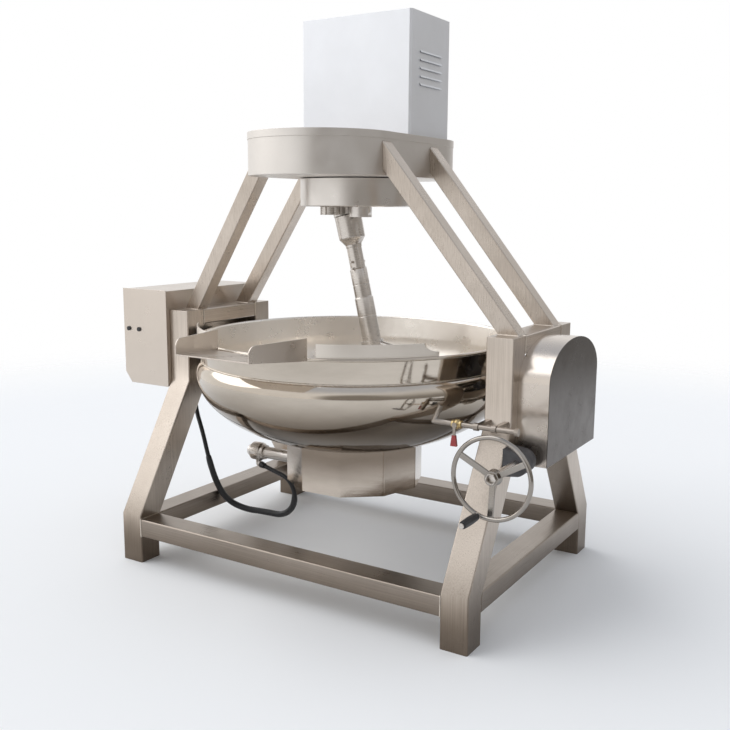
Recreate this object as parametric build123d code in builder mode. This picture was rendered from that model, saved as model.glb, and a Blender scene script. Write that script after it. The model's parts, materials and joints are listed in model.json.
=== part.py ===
"""Tilting jacketed cooking kettle with a gantry-mounted planetary stirrer.

Frame: origin on the floor below the centre of the bowl, +X to the worm gear side,
-Y to the pouring side, +Z up.  Sizes in millimetres, angles in degrees.
"""
from math import acos, atan2, cos, degrees, pi, radians, sin, sqrt, tan
import os

from build123d import *

os.makedirs("parts", exist_ok=True)

# ---------------------------------------------------------------- driving dimensions
FIT_GAP = 0.3  # gap between formed shells that are welded at a bead
RUN_GAP = 0.05  # radial running clearance of a shaft

# bowl and jacket
BOWL_R = 588.0  # inside radius of the bowl at its shoulder
BOWL_DEPTH = 312.0  # depth of the dished part
BOWL_STRAIGHT = 92.0  # straight wall, from the dish up to the rim
BOWL_WALL = 4.0
RIM_Z = 892.0
RIM_FLARE = 16.0  # how far the straight wall opens out up to the rim
RIM_BEAD = 5.0  # radius of the bead round the rim
JACKET_GAP = 26.0  # from the bowl's shoulder out to the jacket's widest circle
JACKET_DEPTH = 300.0
JACKET_DROP = 45.0  # widest circle of the jacket below the bowl's shoulder
JACKET_WALL = 4.0
GUARD_H = 46.0
GUARD_T = 3.0
GUARD_END = 30.0  # angle from the trunnion line to the end of a guard
GUARD_CORNER = 30.0
SPOUT_REACH = 229.0  # from the rim out to the spout's tip
SPOUT_TIP_W = 304.0
SPOUT_ROOT_W = 400.0
SPOUT_RISE = 27.0
SPOUT_T = 4.0
SPOUT_WALL = 50.0
SPOUT_CORNER = 28.0

# heating chamber under the bowl
COLLAR_SIDES = 10
COLLAR_R = 270.0
COLLAR_FILLET = 14.0
COLLAR_Z = 312.0
COLLAR_TURN = 2.6
COLLAR_WALL = 3.0
COLLAR_PLATE_T = 5.0
HEATER_Z = 348.0
STUB_R = 25.0
STUB_BORE = 21.0
STUB_REACH = 180.0  # from the collar's corner circle to the terminal head
HEAD_R = 38.0
HEAD_LENGTH = 72.0
HEAD_CAP_R = 26.0
HEAD_CAP_T = 12.0
GLAND_R = 12.0
GLAND_LENGTH = 24.0
GLAND_DROP = 16.0  # gland's elbow below the terminal head
CABLE_R = 9.0
ELEMENT_R = 6.0
ELEMENT_SPREAD = 22.0
ELEMENT_REACH = 190.0

# trunnions and bearings
TILT_DROP = 77.0  # trunnion axis below the rim
SHAFT_R = 30.0
TRUNNION_PAD_R = 58.0
BLOCK_W = 150.0
BLOCK_L = 64.0
BLOCK_R = 52.0
BLOCK_BASE = 20.0
BOLT_R = 8.0

# stands
TUBE = 98.0  # outside width of the leg and post tube
TUBE_WALL = 4.0
LEFT_GAP = 18.0  # between the jacket and the left stand
RIGHT_GAP = 63.0  # between the jacket and the right stand
TUBE_CORNER = 5.0  # outside corner radius of the stand tubes
FOOT_Y = 557.0  # front face of the front feet from the trunnion line
POST_Y = 264.0  # front face of the front posts
FOOT_TOP = 188.0
POST_BOTTOM_DROP = 136.0  # bend of the posts below the trunnion axis
POST_RISE = 149.0  # top of the posts above the trunnion axis
RAIL_H = 70.0
RAIL_Z = 107.0
RAIL_WALL = 3.0
BEAM_H = 60.0
BEARING_BEAM_H = 56.0

# gantry and mixer head
STRUT = 60.0
STRUT_WALL = 3.0
STRUT_INSET = 52.0  # strut foot centre from the stand's outer face
STRUT_FOOT_Y = 160.0
STRUT_HEAD_Y = (-215.0, 125.0)
STRUT_HEAD_RISE = 66.0  # strut's centre above the bottom of the head case
STRUT_CORNER = 4.0
HEAD_CASE_R = 266.0
HEAD_CASE_REACH = 220.0  # centre of each round end from the stirrer's axis
HEAD_RISE = 595.0  # bottom of the head case above the kettle's rim
HEAD_CASE_H = 124.0
HEAD_LID_T = 25.0
HEAD_CASE_WALL = 5.0
LID_LIP = 2.0
COVER_W = 480.0
COVER_D = 294.0
COVER_Y = 135.0
COVER_H = 440.0
COVER_WALL = 2.0
COVER_EDGE = 8.0
LOUVRES = 5
LOUVRE_L = 165.0
LOUVRE_PITCH = 29.0
LOUVRE_DEPTH = 7.0
LOUVRE_TOP = 132.0
MOTOR_R = 95.0
MOTOR_H = 250.0
MOTOR_FINS = 16
REDUCER = 190.0
REDUCER_H = 120.0
DRUM_R = 210.0
DRUM_H = 102.0
DRUM_GAP = 4.0
DRUM_SHAFT_R = 45.0
BOSS_R = 42.0
BOSS_H = 38.0
BOSS_X = 64.0
BOSS_Y = -66.0
NUT_X = -41.0
NUT_Y = -104.0
NUT_LOBES = 9
SPINDLE_R = 20.0
SPINDLE_L = 24.0
SPINDLE_BOSS_R = 54.0

# stirrer arm
ARM_TILT = 13.4
ARM_CROSS_DROP = 289.0  # crossing of the arm's and the stirrer's axes, below the head case
SOCKET_R = 50.0
SOCKET_TOP = 172.0  # distances along the arm from its crossing point, up positive
SOCKET_CONE = 40.0
SOCKET_NECK_R = 30.0
ARM_R = 36.0
PIN_R = 5.0
PIN_REACH = 17.0
SCRAPER_R = 12.0
SCRAPER_GAP = 10.0
BLADE_T = 8.0
BLADE_W = 44.0
TIE_RISE = 70.0  # how far the upper tie bars rise to the clamp on the arm
BLADE_STEP = 56.0
HUB_R = 44.0
HUB_H = 60.0

# worm gear and handwheel
MODULE = 6.0
WHEEL_TEETH = 70
WORM_R = 34.0
WORM_OFFSET = 45.0  # worm's axis from the outer face of the right stand
WHEEL_FACE = 34.0
TILT_RANGE = 50.0
TOOTH_BACKLASH = 1.6
WORM_LENGTH = 110.0
WORM_SHAFT_R = 14.0
GEAR_HOUSING_L = 220.0
FRONT_BEARING_Y = -292.0
FRONT_BEARING_L = 76.0
REAR_BEARING_L = 36.0
BEARING_R = 40.0
GEAR_COVER_W = 109.0
GEAR_COVER_HALF = 237.0
GEAR_COVER_Y = 17.0
GEAR_COVER_RISE = 133.0
GEAR_COVER_DROP = 273.0  # open bottom of the cover below the trunnion axis
GEAR_COVER_T = 3.0
WHEEL_Y = 502.0
WHEEL_D = 270.0
WHEEL_RIM_R = 7.5
WHEEL_SPOKES = 3
WHEEL_DISH = 12.0
HUB_DISC_R = 26.0
GRIP_ANGLE = -108.0
GRIP_L = 100.0
GRIP_R = 12.0

# inlet pipe and valve
PIPE_R = 9.0
PIPE_Y = 360.0
PIPE_DROP = 130.0  # inlet pipe below the trunnion axis
PIPE_IN = 235.0  # from the stand's outer face to the riser
PIPE_OUT = 63.0  # from the stand's outer face to the end cap
PIPE_RISER = 56.0
VALVE_IN = 149.0
VALVE_R = 17.0
LEVER_L = 66.0
LEVER_T = 4.0

# control box on the left stand
BOX_W = 236.0
BOX_D = 562.0
BOX_RISE = 76.0  # top of the box above the posts
BOX_H = 390.0
BOX_WALL = 2.0
BOX_CHAMFER = 32.0
BOX_GLAND_INSET = 18.0  # cable entry from the stand's outer face
BOX_GLAND_Y = 112.0
BOX_GLAND_L = 22.0

# ---------------------------------------------------------------- derived levels
BOWL_Z = RIM_Z - BOWL_STRAIGHT  # level where the dish meets the straight wall
JACKET_Z = BOWL_Z - JACKET_DROP
TILT_Z = RIM_Z - TILT_DROP
POST_BOTTOM = TILT_Z - POST_BOTTOM_DROP
POST_TOP = TILT_Z + POST_RISE
HEAD_CASE_Z = RIM_Z + HEAD_RISE
HEAD_LID_Z = HEAD_CASE_Z + HEAD_CASE_H
LID_TOP = HEAD_LID_Z + HEAD_LID_T
STRUT_HEAD_Z = HEAD_CASE_Z + STRUT_HEAD_RISE
ARM_CROSS_Z = HEAD_CASE_Z - ARM_CROSS_DROP
BEARING_BEAM_TOP = TILT_Z - BLOCK_R - BLOCK_BASE
PIPE_Z = TILT_Z - PIPE_DROP
BOX_TOP = POST_TOP + BOX_RISE
BOX_BOTTOM = BOX_TOP - BOX_H
GEAR_COVER_Z = TILT_Z - GEAR_COVER_DROP
BOWL_OUT = BOWL_R + BOWL_WALL
RIM_R = BOWL_OUT + RIM_FLARE
JACKET_R = BOWL_R + JACKET_GAP
SPOUT_TIP_Y = RIM_R + SPOUT_REACH
STUB_END = COLLAR_R + STUB_REACH
LEFT_IN = -JACKET_R - LEFT_GAP  # inner face of the left stand
LEFT_X = LEFT_IN - TUBE
RIGHT_IN = JACKET_R + RIGHT_GAP
RIGHT_X = RIGHT_IN + TUBE
WORM_X = RIGHT_X + WORM_OFFSET
WORM_Z = TILT_Z - MODULE * WHEEL_TEETH / 2 - WORM_R
PIPE_X = (RIGHT_X - PIPE_IN, RIGHT_X + PIPE_OUT)
VALVE_X = RIGHT_X - VALVE_IN


def save(builder, name):
    """Label a finished piece and write it to its own STEP file."""
    builder.part.label = name
    export_step(builder.part, f"parts/{name}.step")


def dish(radius, depth, centre_z):
    """Add the lower right quarter of an ellipse, from the bottom out to its widest level."""
    return EllipticalCenterArc((0, centre_z), radius, depth, start_angle=270, arc_size=90)


# ---------------------------------------------------------------- bowl
with BuildPart() as inner_bowl:
    with BuildSketch(Plane.XZ) as bowl_section:
        with BuildLine():
            outer = dish(BOWL_OUT, BOWL_DEPTH + BOWL_WALL, BOWL_Z)
            inner = dish(BOWL_R, BOWL_DEPTH, BOWL_Z)
            Polyline(outer @ 1, (RIM_R, RIM_Z), (RIM_R - BOWL_WALL, RIM_Z), inner @ 1)
            Line(inner @ 0, outer @ 0)
        make_face()
    revolve(axis=Axis.Z)
save(inner_bowl, "inner_bowl")

with BuildPart() as rim_bead:
    with BuildSketch(Plane.XZ):
        with Locations((RIM_R + RIM_BEAD + FIT_GAP, RIM_Z - RIM_BEAD)):
            Circle(RIM_BEAD)
    revolve(axis=Axis.Z)
save(rim_bead, "rim_bead")

with BuildPart() as jacket:
    with BuildSketch(Plane.XZ):
        with BuildLine():
            outer = dish(JACKET_R, JACKET_DEPTH, JACKET_Z)
            shoulder = TangentArc(outer @ 1, (BOWL_OUT + FIT_GAP, BOWL_Z), tangent=(0, 1))
            Line(shoulder @ 1, (BOWL_OUT + FIT_GAP, BOWL_Z - JACKET_WALL))
            inner_shoulder = TangentArc(
                (JACKET_R - JACKET_WALL, JACKET_Z), (BOWL_OUT + FIT_GAP, BOWL_Z - JACKET_WALL),
                tangent=(0, 1),
            )
            inner = dish(JACKET_R - JACKET_WALL, JACKET_DEPTH - JACKET_WALL, JACKET_Z)
            Line(inner @ 0, outer @ 0)
        make_face()
    revolve(axis=Axis.Z)
save(jacket, "jacket")

# solid bodies of the outer shapes, used to trim what is welded on to them
with BuildPart() as kettle_form:
    with BuildSketch(Plane.XZ):
        with BuildLine():
            low = dish(JACKET_R + FIT_GAP, JACKET_DEPTH + FIT_GAP, JACKET_Z)
            high = TangentArc(low @ 1, (BOWL_OUT + FIT_GAP, BOWL_Z + FIT_GAP), tangent=(0, 1))
            Polyline(high @ 1, (RIM_R + FIT_GAP, RIM_Z + 1), (0, RIM_Z + 1), low @ 0)
        make_face()
    revolve(axis=Axis.Z)


def save_pair(builder, name):
    """Write a right hand piece and its mirror image on the left."""
    save(builder, f"{name}_right")
    with BuildPart() as other:
        add(builder.part.mirror(Plane.YZ))
    save(other, f"{name}_left")


# ---------------------------------------------------------------- guards and spout
cheek_angle = degrees(acos(SPOUT_ROOT_W / 2 / RIM_R)) - 1.2
guard_end_x = RIM_R * cos(radians(GUARD_END))
with BuildPart() as rim_guard:
    with BuildSketch(Plane.XY.offset(RIM_Z)):
        with BuildLine():
            wall_out = CenterArc((0, 0), RIM_R, -cheek_angle, cheek_angle - GUARD_END)
            wall_in = CenterArc((0, 0), RIM_R - GUARD_T, -cheek_angle, cheek_angle - GUARD_END)
            Line(wall_out @ 0, wall_in @ 0)
            Line(wall_out @ 1, wall_in @ 1)
        make_face()
    extrude(amount=GUARD_H)
    with BuildSketch(Plane.XZ):
        with BuildLine():
            low = (guard_end_x, RIM_Z + GUARD_H - GUARD_CORNER)
            high = (guard_end_x - GUARD_CORNER, RIM_Z + GUARD_H)
            round_end = RadiusArc(low, high, GUARD_CORNER)
            Polyline(high, (guard_end_x + 1, RIM_Z + GUARD_H + 1), low)
        make_face()
    extrude(amount=RIM_R, both=True, mode=Mode.SUBTRACT)
save_pair(rim_guard, "rim_guard")

spout_root_y = sqrt((RIM_R + FIT_GAP) ** 2 - (SPOUT_ROOT_W / 2) ** 2)
spout_floor = RIM_Z - 2 * RIM_BEAD - FIT_GAP
with BuildPart() as spout:
    # cheeks and floor as one folded trough that narrows to the tip
    with BuildSketch(Plane.XY.offset(spout_floor - SPOUT_T)):
        Polygon(
            (-SPOUT_ROOT_W / 2, -spout_root_y + 40), (SPOUT_ROOT_W / 2, -spout_root_y + 40),
            (SPOUT_TIP_W / 2, -SPOUT_TIP_Y), (-SPOUT_TIP_W / 2, -SPOUT_TIP_Y), align=None,
        )
    extrude(amount=SPOUT_RISE + SPOUT_WALL + SPOUT_T)
    hollow_x = SPOUT_ROOT_W / 2 - SPOUT_T
    tip_x = SPOUT_TIP_W / 2 - SPOUT_T
    with BuildSketch(Plane.XY.offset(spout_floor - SPOUT_WALL)):
        Polygon(
            (-hollow_x, -spout_root_y + 41), (hollow_x, -spout_root_y + 41),
            (tip_x, -SPOUT_TIP_Y - 1), (-tip_x, -SPOUT_TIP_Y - 1), align=None,
        )
    hollow = extrude(amount=4 * SPOUT_WALL, mode=Mode.PRIVATE)
    side_view = Plane.YZ
    with BuildSketch(side_view) as over_floor:
        Polygon(
            (-spout_root_y + 42, spout_floor), (-SPOUT_TIP_Y - 2, spout_floor + SPOUT_RISE),
            (-SPOUT_TIP_Y - 2, spout_floor + 4 * SPOUT_WALL),
            (-spout_root_y + 42, spout_floor + 4 * SPOUT_WALL),
            align=None,
        )
    over = extrude(amount=SPOUT_ROOT_W, both=True, mode=Mode.PRIVATE)
    add(hollow & over, mode=Mode.SUBTRACT)
    with BuildSketch(side_view):
        tip_top = spout_floor + SPOUT_RISE + SPOUT_WALL
        with BuildLine():
            below = Polyline(
                (-spout_root_y + 41, spout_floor - SPOUT_T),
                (-SPOUT_TIP_Y - 1, spout_floor + SPOUT_RISE - SPOUT_T),
                (-SPOUT_TIP_Y - 1, spout_floor - SPOUT_T - 1),
                (-spout_root_y + 41, spout_floor - SPOUT_T - 1), close=True,
            )
        make_face()
    extrude(amount=SPOUT_ROOT_W, both=True, mode=Mode.SUBTRACT)
    with BuildSketch(side_view):
        with BuildLine():
            RadiusArc(
                (-SPOUT_TIP_Y, tip_top - SPOUT_CORNER), (-SPOUT_TIP_Y + SPOUT_CORNER, tip_top),
                SPOUT_CORNER,
            )
            Polyline(
                (-SPOUT_TIP_Y + SPOUT_CORNER, tip_top), (-SPOUT_TIP_Y - 1, tip_top + 1),
                (-SPOUT_TIP_Y, tip_top - SPOUT_CORNER),
            )
        make_face()
    extrude(amount=SPOUT_ROOT_W, both=True, mode=Mode.SUBTRACT)
    with BuildSketch(Plane.XY.offset(spout_floor - SPOUT_WALL)):
        Circle(RIM_R + 2 * RIM_BEAD + 2 * FIT_GAP)
    extrude(amount=4 * SPOUT_WALL, mode=Mode.SUBTRACT)
save(spout, "spout")

# ---------------------------------------------------------------- heating chamber
collar_inner_z = COLLAR_Z + COLLAR_PLATE_T
with BuildPart() as collar:
    with BuildSketch(Plane.XY.offset(COLLAR_Z)):
        RegularPolygon(COLLAR_R, COLLAR_SIDES, rotation=COLLAR_TURN)
        fillet(vertices(), COLLAR_FILLET)
    extrude(amount=JACKET_Z - COLLAR_Z)
    with BuildSketch(Plane.XY.offset(COLLAR_Z)):
        RegularPolygon(COLLAR_R, COLLAR_SIDES, rotation=COLLAR_TURN)
        fillet(vertices(), COLLAR_FILLET)
        offset(amount=-COLLAR_WALL)
    extrude(amount=JACKET_Z - COLLAR_Z, mode=Mode.SUBTRACT)
    add(kettle_form.part, mode=Mode.SUBTRACT)
    with BuildSketch(Plane.YZ.offset(-COLLAR_R - 1)):
        with Locations((0, HEATER_Z)):
            Circle(STUB_R + FIT_GAP)
    extrude(amount=COLLAR_R, mode=Mode.SUBTRACT)
save(collar, "collar")

with BuildPart() as collar_plate:
    with BuildSketch(Plane.XY.offset(COLLAR_Z)):
        RegularPolygon(COLLAR_R, COLLAR_SIDES, rotation=COLLAR_TURN)
        fillet(vertices(), COLLAR_FILLET)
        offset(amount=-COLLAR_WALL - FIT_GAP)
    extrude(amount=COLLAR_PLATE_T)
save(collar_plate, "collar_plate")

HEATER = Plane(origin=(0, 0, HEATER_Z), x_dir=(0, 1, 0), z_dir=(-1, 0, 0))
stub_start = COLLAR_R - 22.0
with BuildPart() as heater_stub:
    with BuildSketch(HEATER.offset(stub_start)):
        Circle(STUB_R)
        Circle(STUB_BORE, mode=Mode.SUBTRACT)
    extrude(amount=STUB_END - stub_start)
save(heater_stub, "heater_stub")

ELEMENT_BEND_X = ELEMENT_REACH - ELEMENT_SPREAD
with BuildPart() as heating_element:
    with BuildSketch(HEATER.offset(-ELEMENT_BEND_X)):
        with Locations((-ELEMENT_SPREAD / 2, 0), (ELEMENT_SPREAD / 2, 0)):
            Circle(ELEMENT_R)
    extrude(amount=ELEMENT_BEND_X + STUB_END)
    with BuildSketch(HEATER.offset(-ELEMENT_BEND_X)):
        with Locations((ELEMENT_SPREAD / 2, 0)):
            Circle(ELEMENT_R)
    revolve(axis=Axis((ELEMENT_BEND_X, 0, HEATER_Z), (0, 0, 1)), revolution_arc=-180)
save(heating_element, "heating_element")

GLAND = Plane(
    origin=(-STUB_END - HEAD_LENGTH / 2 - 4, 0, HEATER_Z - HEAD_R - GLAND_DROP),
    x_dir=(0, 1, 0), z_dir=(0.975, -0.1, -0.2),
)
with BuildPart() as terminal_head:
    # bell shaped terminal enclosure with a screwed cap on its outer end
    with BuildSketch(Plane.XZ):
        with BuildLine():
            Polyline(
                (-STUB_END - FIT_GAP, HEATER_Z), (-STUB_END - FIT_GAP, HEATER_Z + STUB_R + 6),
                (-STUB_END - 14, HEATER_Z + STUB_R + 6), (-STUB_END - 20, HEATER_Z + HEAD_R),
                (-STUB_END - HEAD_LENGTH + 10, HEATER_Z + HEAD_R),
                (-STUB_END - HEAD_LENGTH, HEATER_Z + HEAD_R - 8),
                (-STUB_END - HEAD_LENGTH, HEATER_Z + HEAD_CAP_R),
                (-STUB_END - HEAD_LENGTH - HEAD_CAP_T, HEATER_Z + HEAD_CAP_R - 3),
                (-STUB_END - HEAD_LENGTH - HEAD_CAP_T, HEATER_Z), close=True,
            )
        make_face()
    revolve(axis=Axis((0, 0, HEATER_Z), (1, 0, 0)))
    # elbow under the head that carries the cable gland
    with BuildSketch(Plane.XY.offset(GLAND.origin.Z)):
        with Locations((GLAND.origin.X, 0)):
            Circle(GLAND_R)
    extrude(amount=HEAD_R)
    with Locations(GLAND.origin):
        Sphere(GLAND_R)
    with BuildSketch(GLAND):
        Circle(GLAND_R)
    extrude(amount=GLAND_R)
save(terminal_head, "terminal_head")

with BuildPart() as cable_gland:
    with BuildSketch(GLAND.offset(GLAND_R)):
        RegularPolygon(GLAND_R + 2, 6)
    extrude(amount=GLAND_LENGTH / 2)
    with BuildSketch(GLAND.offset(GLAND_R + GLAND_LENGTH / 2)):
        Circle(GLAND_R + 1)
    extrude(amount=GLAND_LENGTH / 2, taper=6)
save(cable_gland, "cable_gland")

# supply cable, hanging in a loop from the gland to the control box
CABLE_ROUTE = [
    (-340, -15, 259), (-292, -19, 222), (-286, -21, 163), (-331, -23, 121), (-424, -26, 99),
    (-540, -40, 84), (-606, -75, 116), (-616, -126, 200), (-642, -146, 320), (-672, -148, 440),
]
box_entry = (LEFT_X - BOX_GLAND_INSET, -BOX_GLAND_Y, BOX_BOTTOM - BOX_GLAND_L)
route = [GLAND.from_local_coords((0, 0, GLAND_R + GLAND_LENGTH + reach)) for reach in (0, 56)]
route += [Vector(*point) for point in CABLE_ROUTE]
route += [Vector(*box_entry) - Vector(0, 0, 88), Vector(*box_entry)]
runs = [b - a for a, b in zip(route, route[1:])]
bends = [
    0.45 * min(a.length, b.length) / tan(radians(a.get_angle(b)) / 2)
    for a, b in zip(runs, runs[1:])
]
with BuildPart() as heater_cable:
    with BuildLine() as cable_line:
        FilletPolyline(*route, radius=bends)
    with BuildSketch(GLAND.offset(GLAND_R + GLAND_LENGTH)):
        Circle(CABLE_R)
    sweep(path=cable_line.line)
save(heater_cable, "heater_cable")
cable_length = sum(edge.length for edge in cable_line.edges())
cable_volume = pi * CABLE_R**2 * cable_length
print("cable bend radii", [round(bend) for bend in bends])
print("cable length", round(cable_length), "volume ratio",
      round(heater_cable.part.volume / cable_volume, 4))

# ---------------------------------------------------------------- trunnions
SIDE = Plane.YZ  # local x is Y, local y is Z, normal +X
left_block_x = (LEFT_X + LEFT_IN) / 2
right_block_x = (RIGHT_X + RIGHT_IN) / 2
trunnion_reach = {1: WORM_X + WHEEL_FACE / 2 + 14, -1: -LEFT_X - 8}
for side, name in ((1, "trunnion_right"), (-1, "trunnion_left")):
    with BuildPart() as trunnion:
        with BuildSketch(SIDE.offset(side * (BOWL_R - 20))):
            with Locations((0, TILT_Z)):
                Circle(TRUNNION_PAD_R)
        extrude(amount=side * (JACKET_R + 8 - BOWL_R + 20))
        add(kettle_form.part, mode=Mode.SUBTRACT)
        with BuildSketch(Plane.XY.offset(RIM_Z - 2 * RIM_BEAD - 4 * FIT_GAP)):
            Rectangle(4 * JACKET_R, 4 * JACKET_R)
        extrude(amount=RIM_Z, mode=Mode.SUBTRACT)
        with BuildSketch(SIDE.offset(side * JACKET_R)):
            with Locations((0, TILT_Z)):
                Circle(SHAFT_R)
        extrude(amount=side * (trunnion_reach[side] - JACKET_R))
        chamfer(trunnion.faces().sort_by(Axis.X)[-1 if side > 0 else 0].edges(), 2)
    save(trunnion, name)

# ---------------------------------------------------------------- worm wheel and worm
pitch_r = MODULE * WHEEL_TEETH / 2
tooth_tip = pitch_r + MODULE - 0.6
tooth_root = pitch_r - 1.2 * MODULE
worm_tip = WORM_R + MODULE - 0.6
worm_root = WORM_R - 1.2 * MODULE
circular_pitch = pi * MODULE
pressure = tan(radians(20))
half_tooth = circular_pitch / 4 - TOOTH_BACKLASH / 4  # half thickness at the pitch line
lead_slope = circular_pitch / (2 * pi * WORM_R)
sector_margin = degrees((WORM_LENGTH / 2) / pitch_r)
with BuildPart() as worm_wheel:
    wheel_plane = SIDE.offset(WORM_X - WHEEL_FACE / 2)
    with BuildSketch(wheel_plane):
        with Locations((0, TILT_Z)):
            Circle(tooth_root)
        with BuildLine():
            reach = 2 * tooth_root
            first = radians(-90 + sector_margin)
            last = radians(-90 - TILT_RANGE - sector_margin)
            middle = (first + last) / 2
            Polyline(
                (0, TILT_Z), (reach * cos(first), TILT_Z + reach * sin(first)),
                (2 * reach * cos(middle), TILT_Z + 2 * reach * sin(middle)),
                (reach * cos(last), TILT_Z + reach * sin(last)), close=True,
            )
        make_face(mode=Mode.INTERSECT)
        with Locations((0, TILT_Z)):
            Circle(SHAFT_R + 24)
            with PolarLocations(pitch_r * 0.62, 3, degrees(last) + 18, TILT_RANGE - 6):
                Circle(24, mode=Mode.SUBTRACT)
            Circle(SHAFT_R + RUN_GAP, mode=Mode.SUBTRACT)
    extrude(amount=WHEEL_FACE)
    with BuildSketch(wheel_plane):
        with BuildLine():
            low = tooth_root - 1.0
            half_low = half_tooth + (pitch_r - low) * pressure
            half_tip = half_tooth - (tooth_tip - pitch_r) * pressure
            skew = -lead_slope * WHEEL_FACE / 2
            Polyline(
                (-half_low + skew, TILT_Z - low), (half_low + skew, TILT_Z - low),
                (half_tip + skew, TILT_Z - tooth_tip), (-half_tip + skew, TILT_Z - tooth_tip),
                close=True,
            )
        make_face()
    tooth = extrude(amount=WHEEL_FACE, dir=(1, lead_slope, 0), mode=Mode.PRIVATE)
    tooth_step = 360 / WHEEL_TEETH
    wheel_axis = Axis((0, 0, TILT_Z), (1, 0, 0))
    first_tooth = -int((TILT_RANGE + sector_margin) / tooth_step - 0.5)
    last_tooth = int(sector_margin / tooth_step - 0.5)
    for n in range(first_tooth, last_tooth + 1):
        add(tooth.rotate(wheel_axis, n * tooth_step))
save(worm_wheel, "worm_wheel")

WORM_FRONT = Plane(origin=(WORM_X, 0, WORM_Z), x_dir=(1, 0, 0), z_dir=(0, -1, 0))
hub_y = WHEEL_Y
with BuildPart() as worm_shaft:
    with BuildSketch(WORM_FRONT.offset(-GEAR_HOUSING_L)):
        Circle(WORM_SHAFT_R)
    extrude(amount=GEAR_HOUSING_L + hub_y + 6)
    with BuildSketch(WORM_FRONT.offset(-WORM_LENGTH / 2)):
        Circle(worm_root)
    extrude(amount=WORM_LENGTH)
    turns = int(WORM_LENGTH / circular_pitch) - 1
    thread_low = worm_root - 0.5
    with BuildLine():
        helix = Helix(
            circular_pitch, turns * circular_pitch, thread_low,
            center=(WORM_X, turns * circular_pitch / 2, WORM_Z), direction=(0, -1, 0),
        )
    start = helix @ 0
    half_root = half_tooth + (WORM_R - thread_low) * pressure
    half_crest = half_tooth - (worm_tip - WORM_R) * pressure
    outward = Vector(start.X - WORM_X, 0, start.Z - WORM_Z).normalized()
    with BuildSketch(Plane(origin=start, x_dir=outward, z_dir=outward.cross(Vector(0, 1, 0)))):
        with BuildLine():
            Polyline(
                (0, -half_root), (worm_tip - thread_low, -half_crest),
                (worm_tip - thread_low, half_crest), (0, half_root), close=True,
            )
        make_face()
    sweep(path=helix.edge(), is_frenet=True)
save(worm_shaft, "worm_shaft")

# ---------------------------------------------------------------- handwheel
rim_y = hub_y + WHEEL_DISH
with BuildPart() as handwheel:
    with BuildSketch(Plane(origin=(WORM_X, -rim_y, WORM_Z), x_dir=(1, 0, 0), z_dir=(0, 0, 1))):
        with Locations((WHEEL_D / 2 - WHEEL_RIM_R, 0)):
            Circle(WHEEL_RIM_R)
    revolve(axis=Axis((WORM_X, 0, WORM_Z), (0, -1, 0)))
    with BuildSketch(WORM_FRONT.offset(hub_y - HUB_DISC_R / 2)):
        Circle(HUB_DISC_R)
    extrude(amount=HUB_DISC_R, taper=6)
    for n in range(WHEEL_SPOKES):
        turn = 30 + n * 360 / WHEEL_SPOKES
        spoke_in = Vector(cos(radians(turn)), 0, sin(radians(turn)))
        root = Vector(WORM_X, -hub_y, WORM_Z) + spoke_in * (WORM_SHAFT_R + 4)
        tip = Vector(WORM_X, -rim_y, WORM_Z) + spoke_in * (WHEEL_D / 2 - WHEEL_RIM_R)
        along = (tip - root).normalized()
        with BuildSketch(Plane(origin=root, x_dir=(0, 1, 0), z_dir=along)):
            Rectangle(8, 20)
            fillet(vertices(), 2.5)
        extrude(amount=(tip - root).length)
    with BuildSketch(WORM_FRONT.offset(hub_y - HUB_DISC_R)):
        Circle(WORM_SHAFT_R + RUN_GAP)
    extrude(amount=2 * HUB_DISC_R, mode=Mode.SUBTRACT)
save(handwheel, "handwheel")

with BuildPart() as wheel_nut:
    with BuildSketch(WORM_FRONT.offset(hub_y + HUB_DISC_R / 2)):
        RegularPolygon(WORM_SHAFT_R + 4, 6)
        Circle(WORM_SHAFT_R + RUN_GAP, mode=Mode.SUBTRACT)
    extrude(amount=7)
save(wheel_nut, "wheel_nut")

grip_turn = radians(GRIP_ANGLE)
GRIP = Plane(
    origin=(
        WORM_X + (WHEEL_D / 2 - WHEEL_RIM_R) * cos(grip_turn), -rim_y - WHEEL_RIM_R,
        WORM_Z + (WHEEL_D / 2 - WHEEL_RIM_R) * sin(grip_turn),
    ),
    x_dir=(1, 0, 0), z_dir=(0, -1, 0),
)
with BuildPart() as crank_pin:
    with BuildSketch(GRIP.offset(0.2)):
        Circle(GRIP_R * 0.9)
    extrude(amount=4)
    with BuildSketch(GRIP.offset(4)):
        Circle(GRIP_R * 0.4)
    extrude(amount=GRIP_L + 6)
    with BuildSketch(GRIP.offset(GRIP_L + 9)):
        Circle(GRIP_R * 0.7)
    extrude(amount=4)
save(crank_pin, "crank_pin")

with BuildPart() as crank_grip:
    with BuildSketch(Plane(origin=GRIP.origin, x_dir=(1, 0, 0), z_dir=(0, 0, 1))):
        bore = GRIP_R * 0.4 + RUN_GAP
        with BuildLine():
            Polyline((bore, -7), (GRIP_R * 0.8, -7), (GRIP_R, -12))
            Spline((GRIP_R, -12), (GRIP_R * 1.12, -GRIP_L * 0.45), (GRIP_R, -GRIP_L - 2))
            Polyline((GRIP_R, -GRIP_L - 2), (GRIP_R * 0.8, -GRIP_L - 7), (bore, -GRIP_L - 7))
            Line((bore, -GRIP_L - 7), (bore, -7))
        make_face()
    revolve(axis=Axis(GRIP.origin, (0, -1, 0)))
save(crank_grip, "crank_grip")

# ---------------------------------------------------------------- splayed leg posts
splay = atan2(FOOT_Y - POST_Y, POST_BOTTOM - FOOT_TOP)


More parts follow.
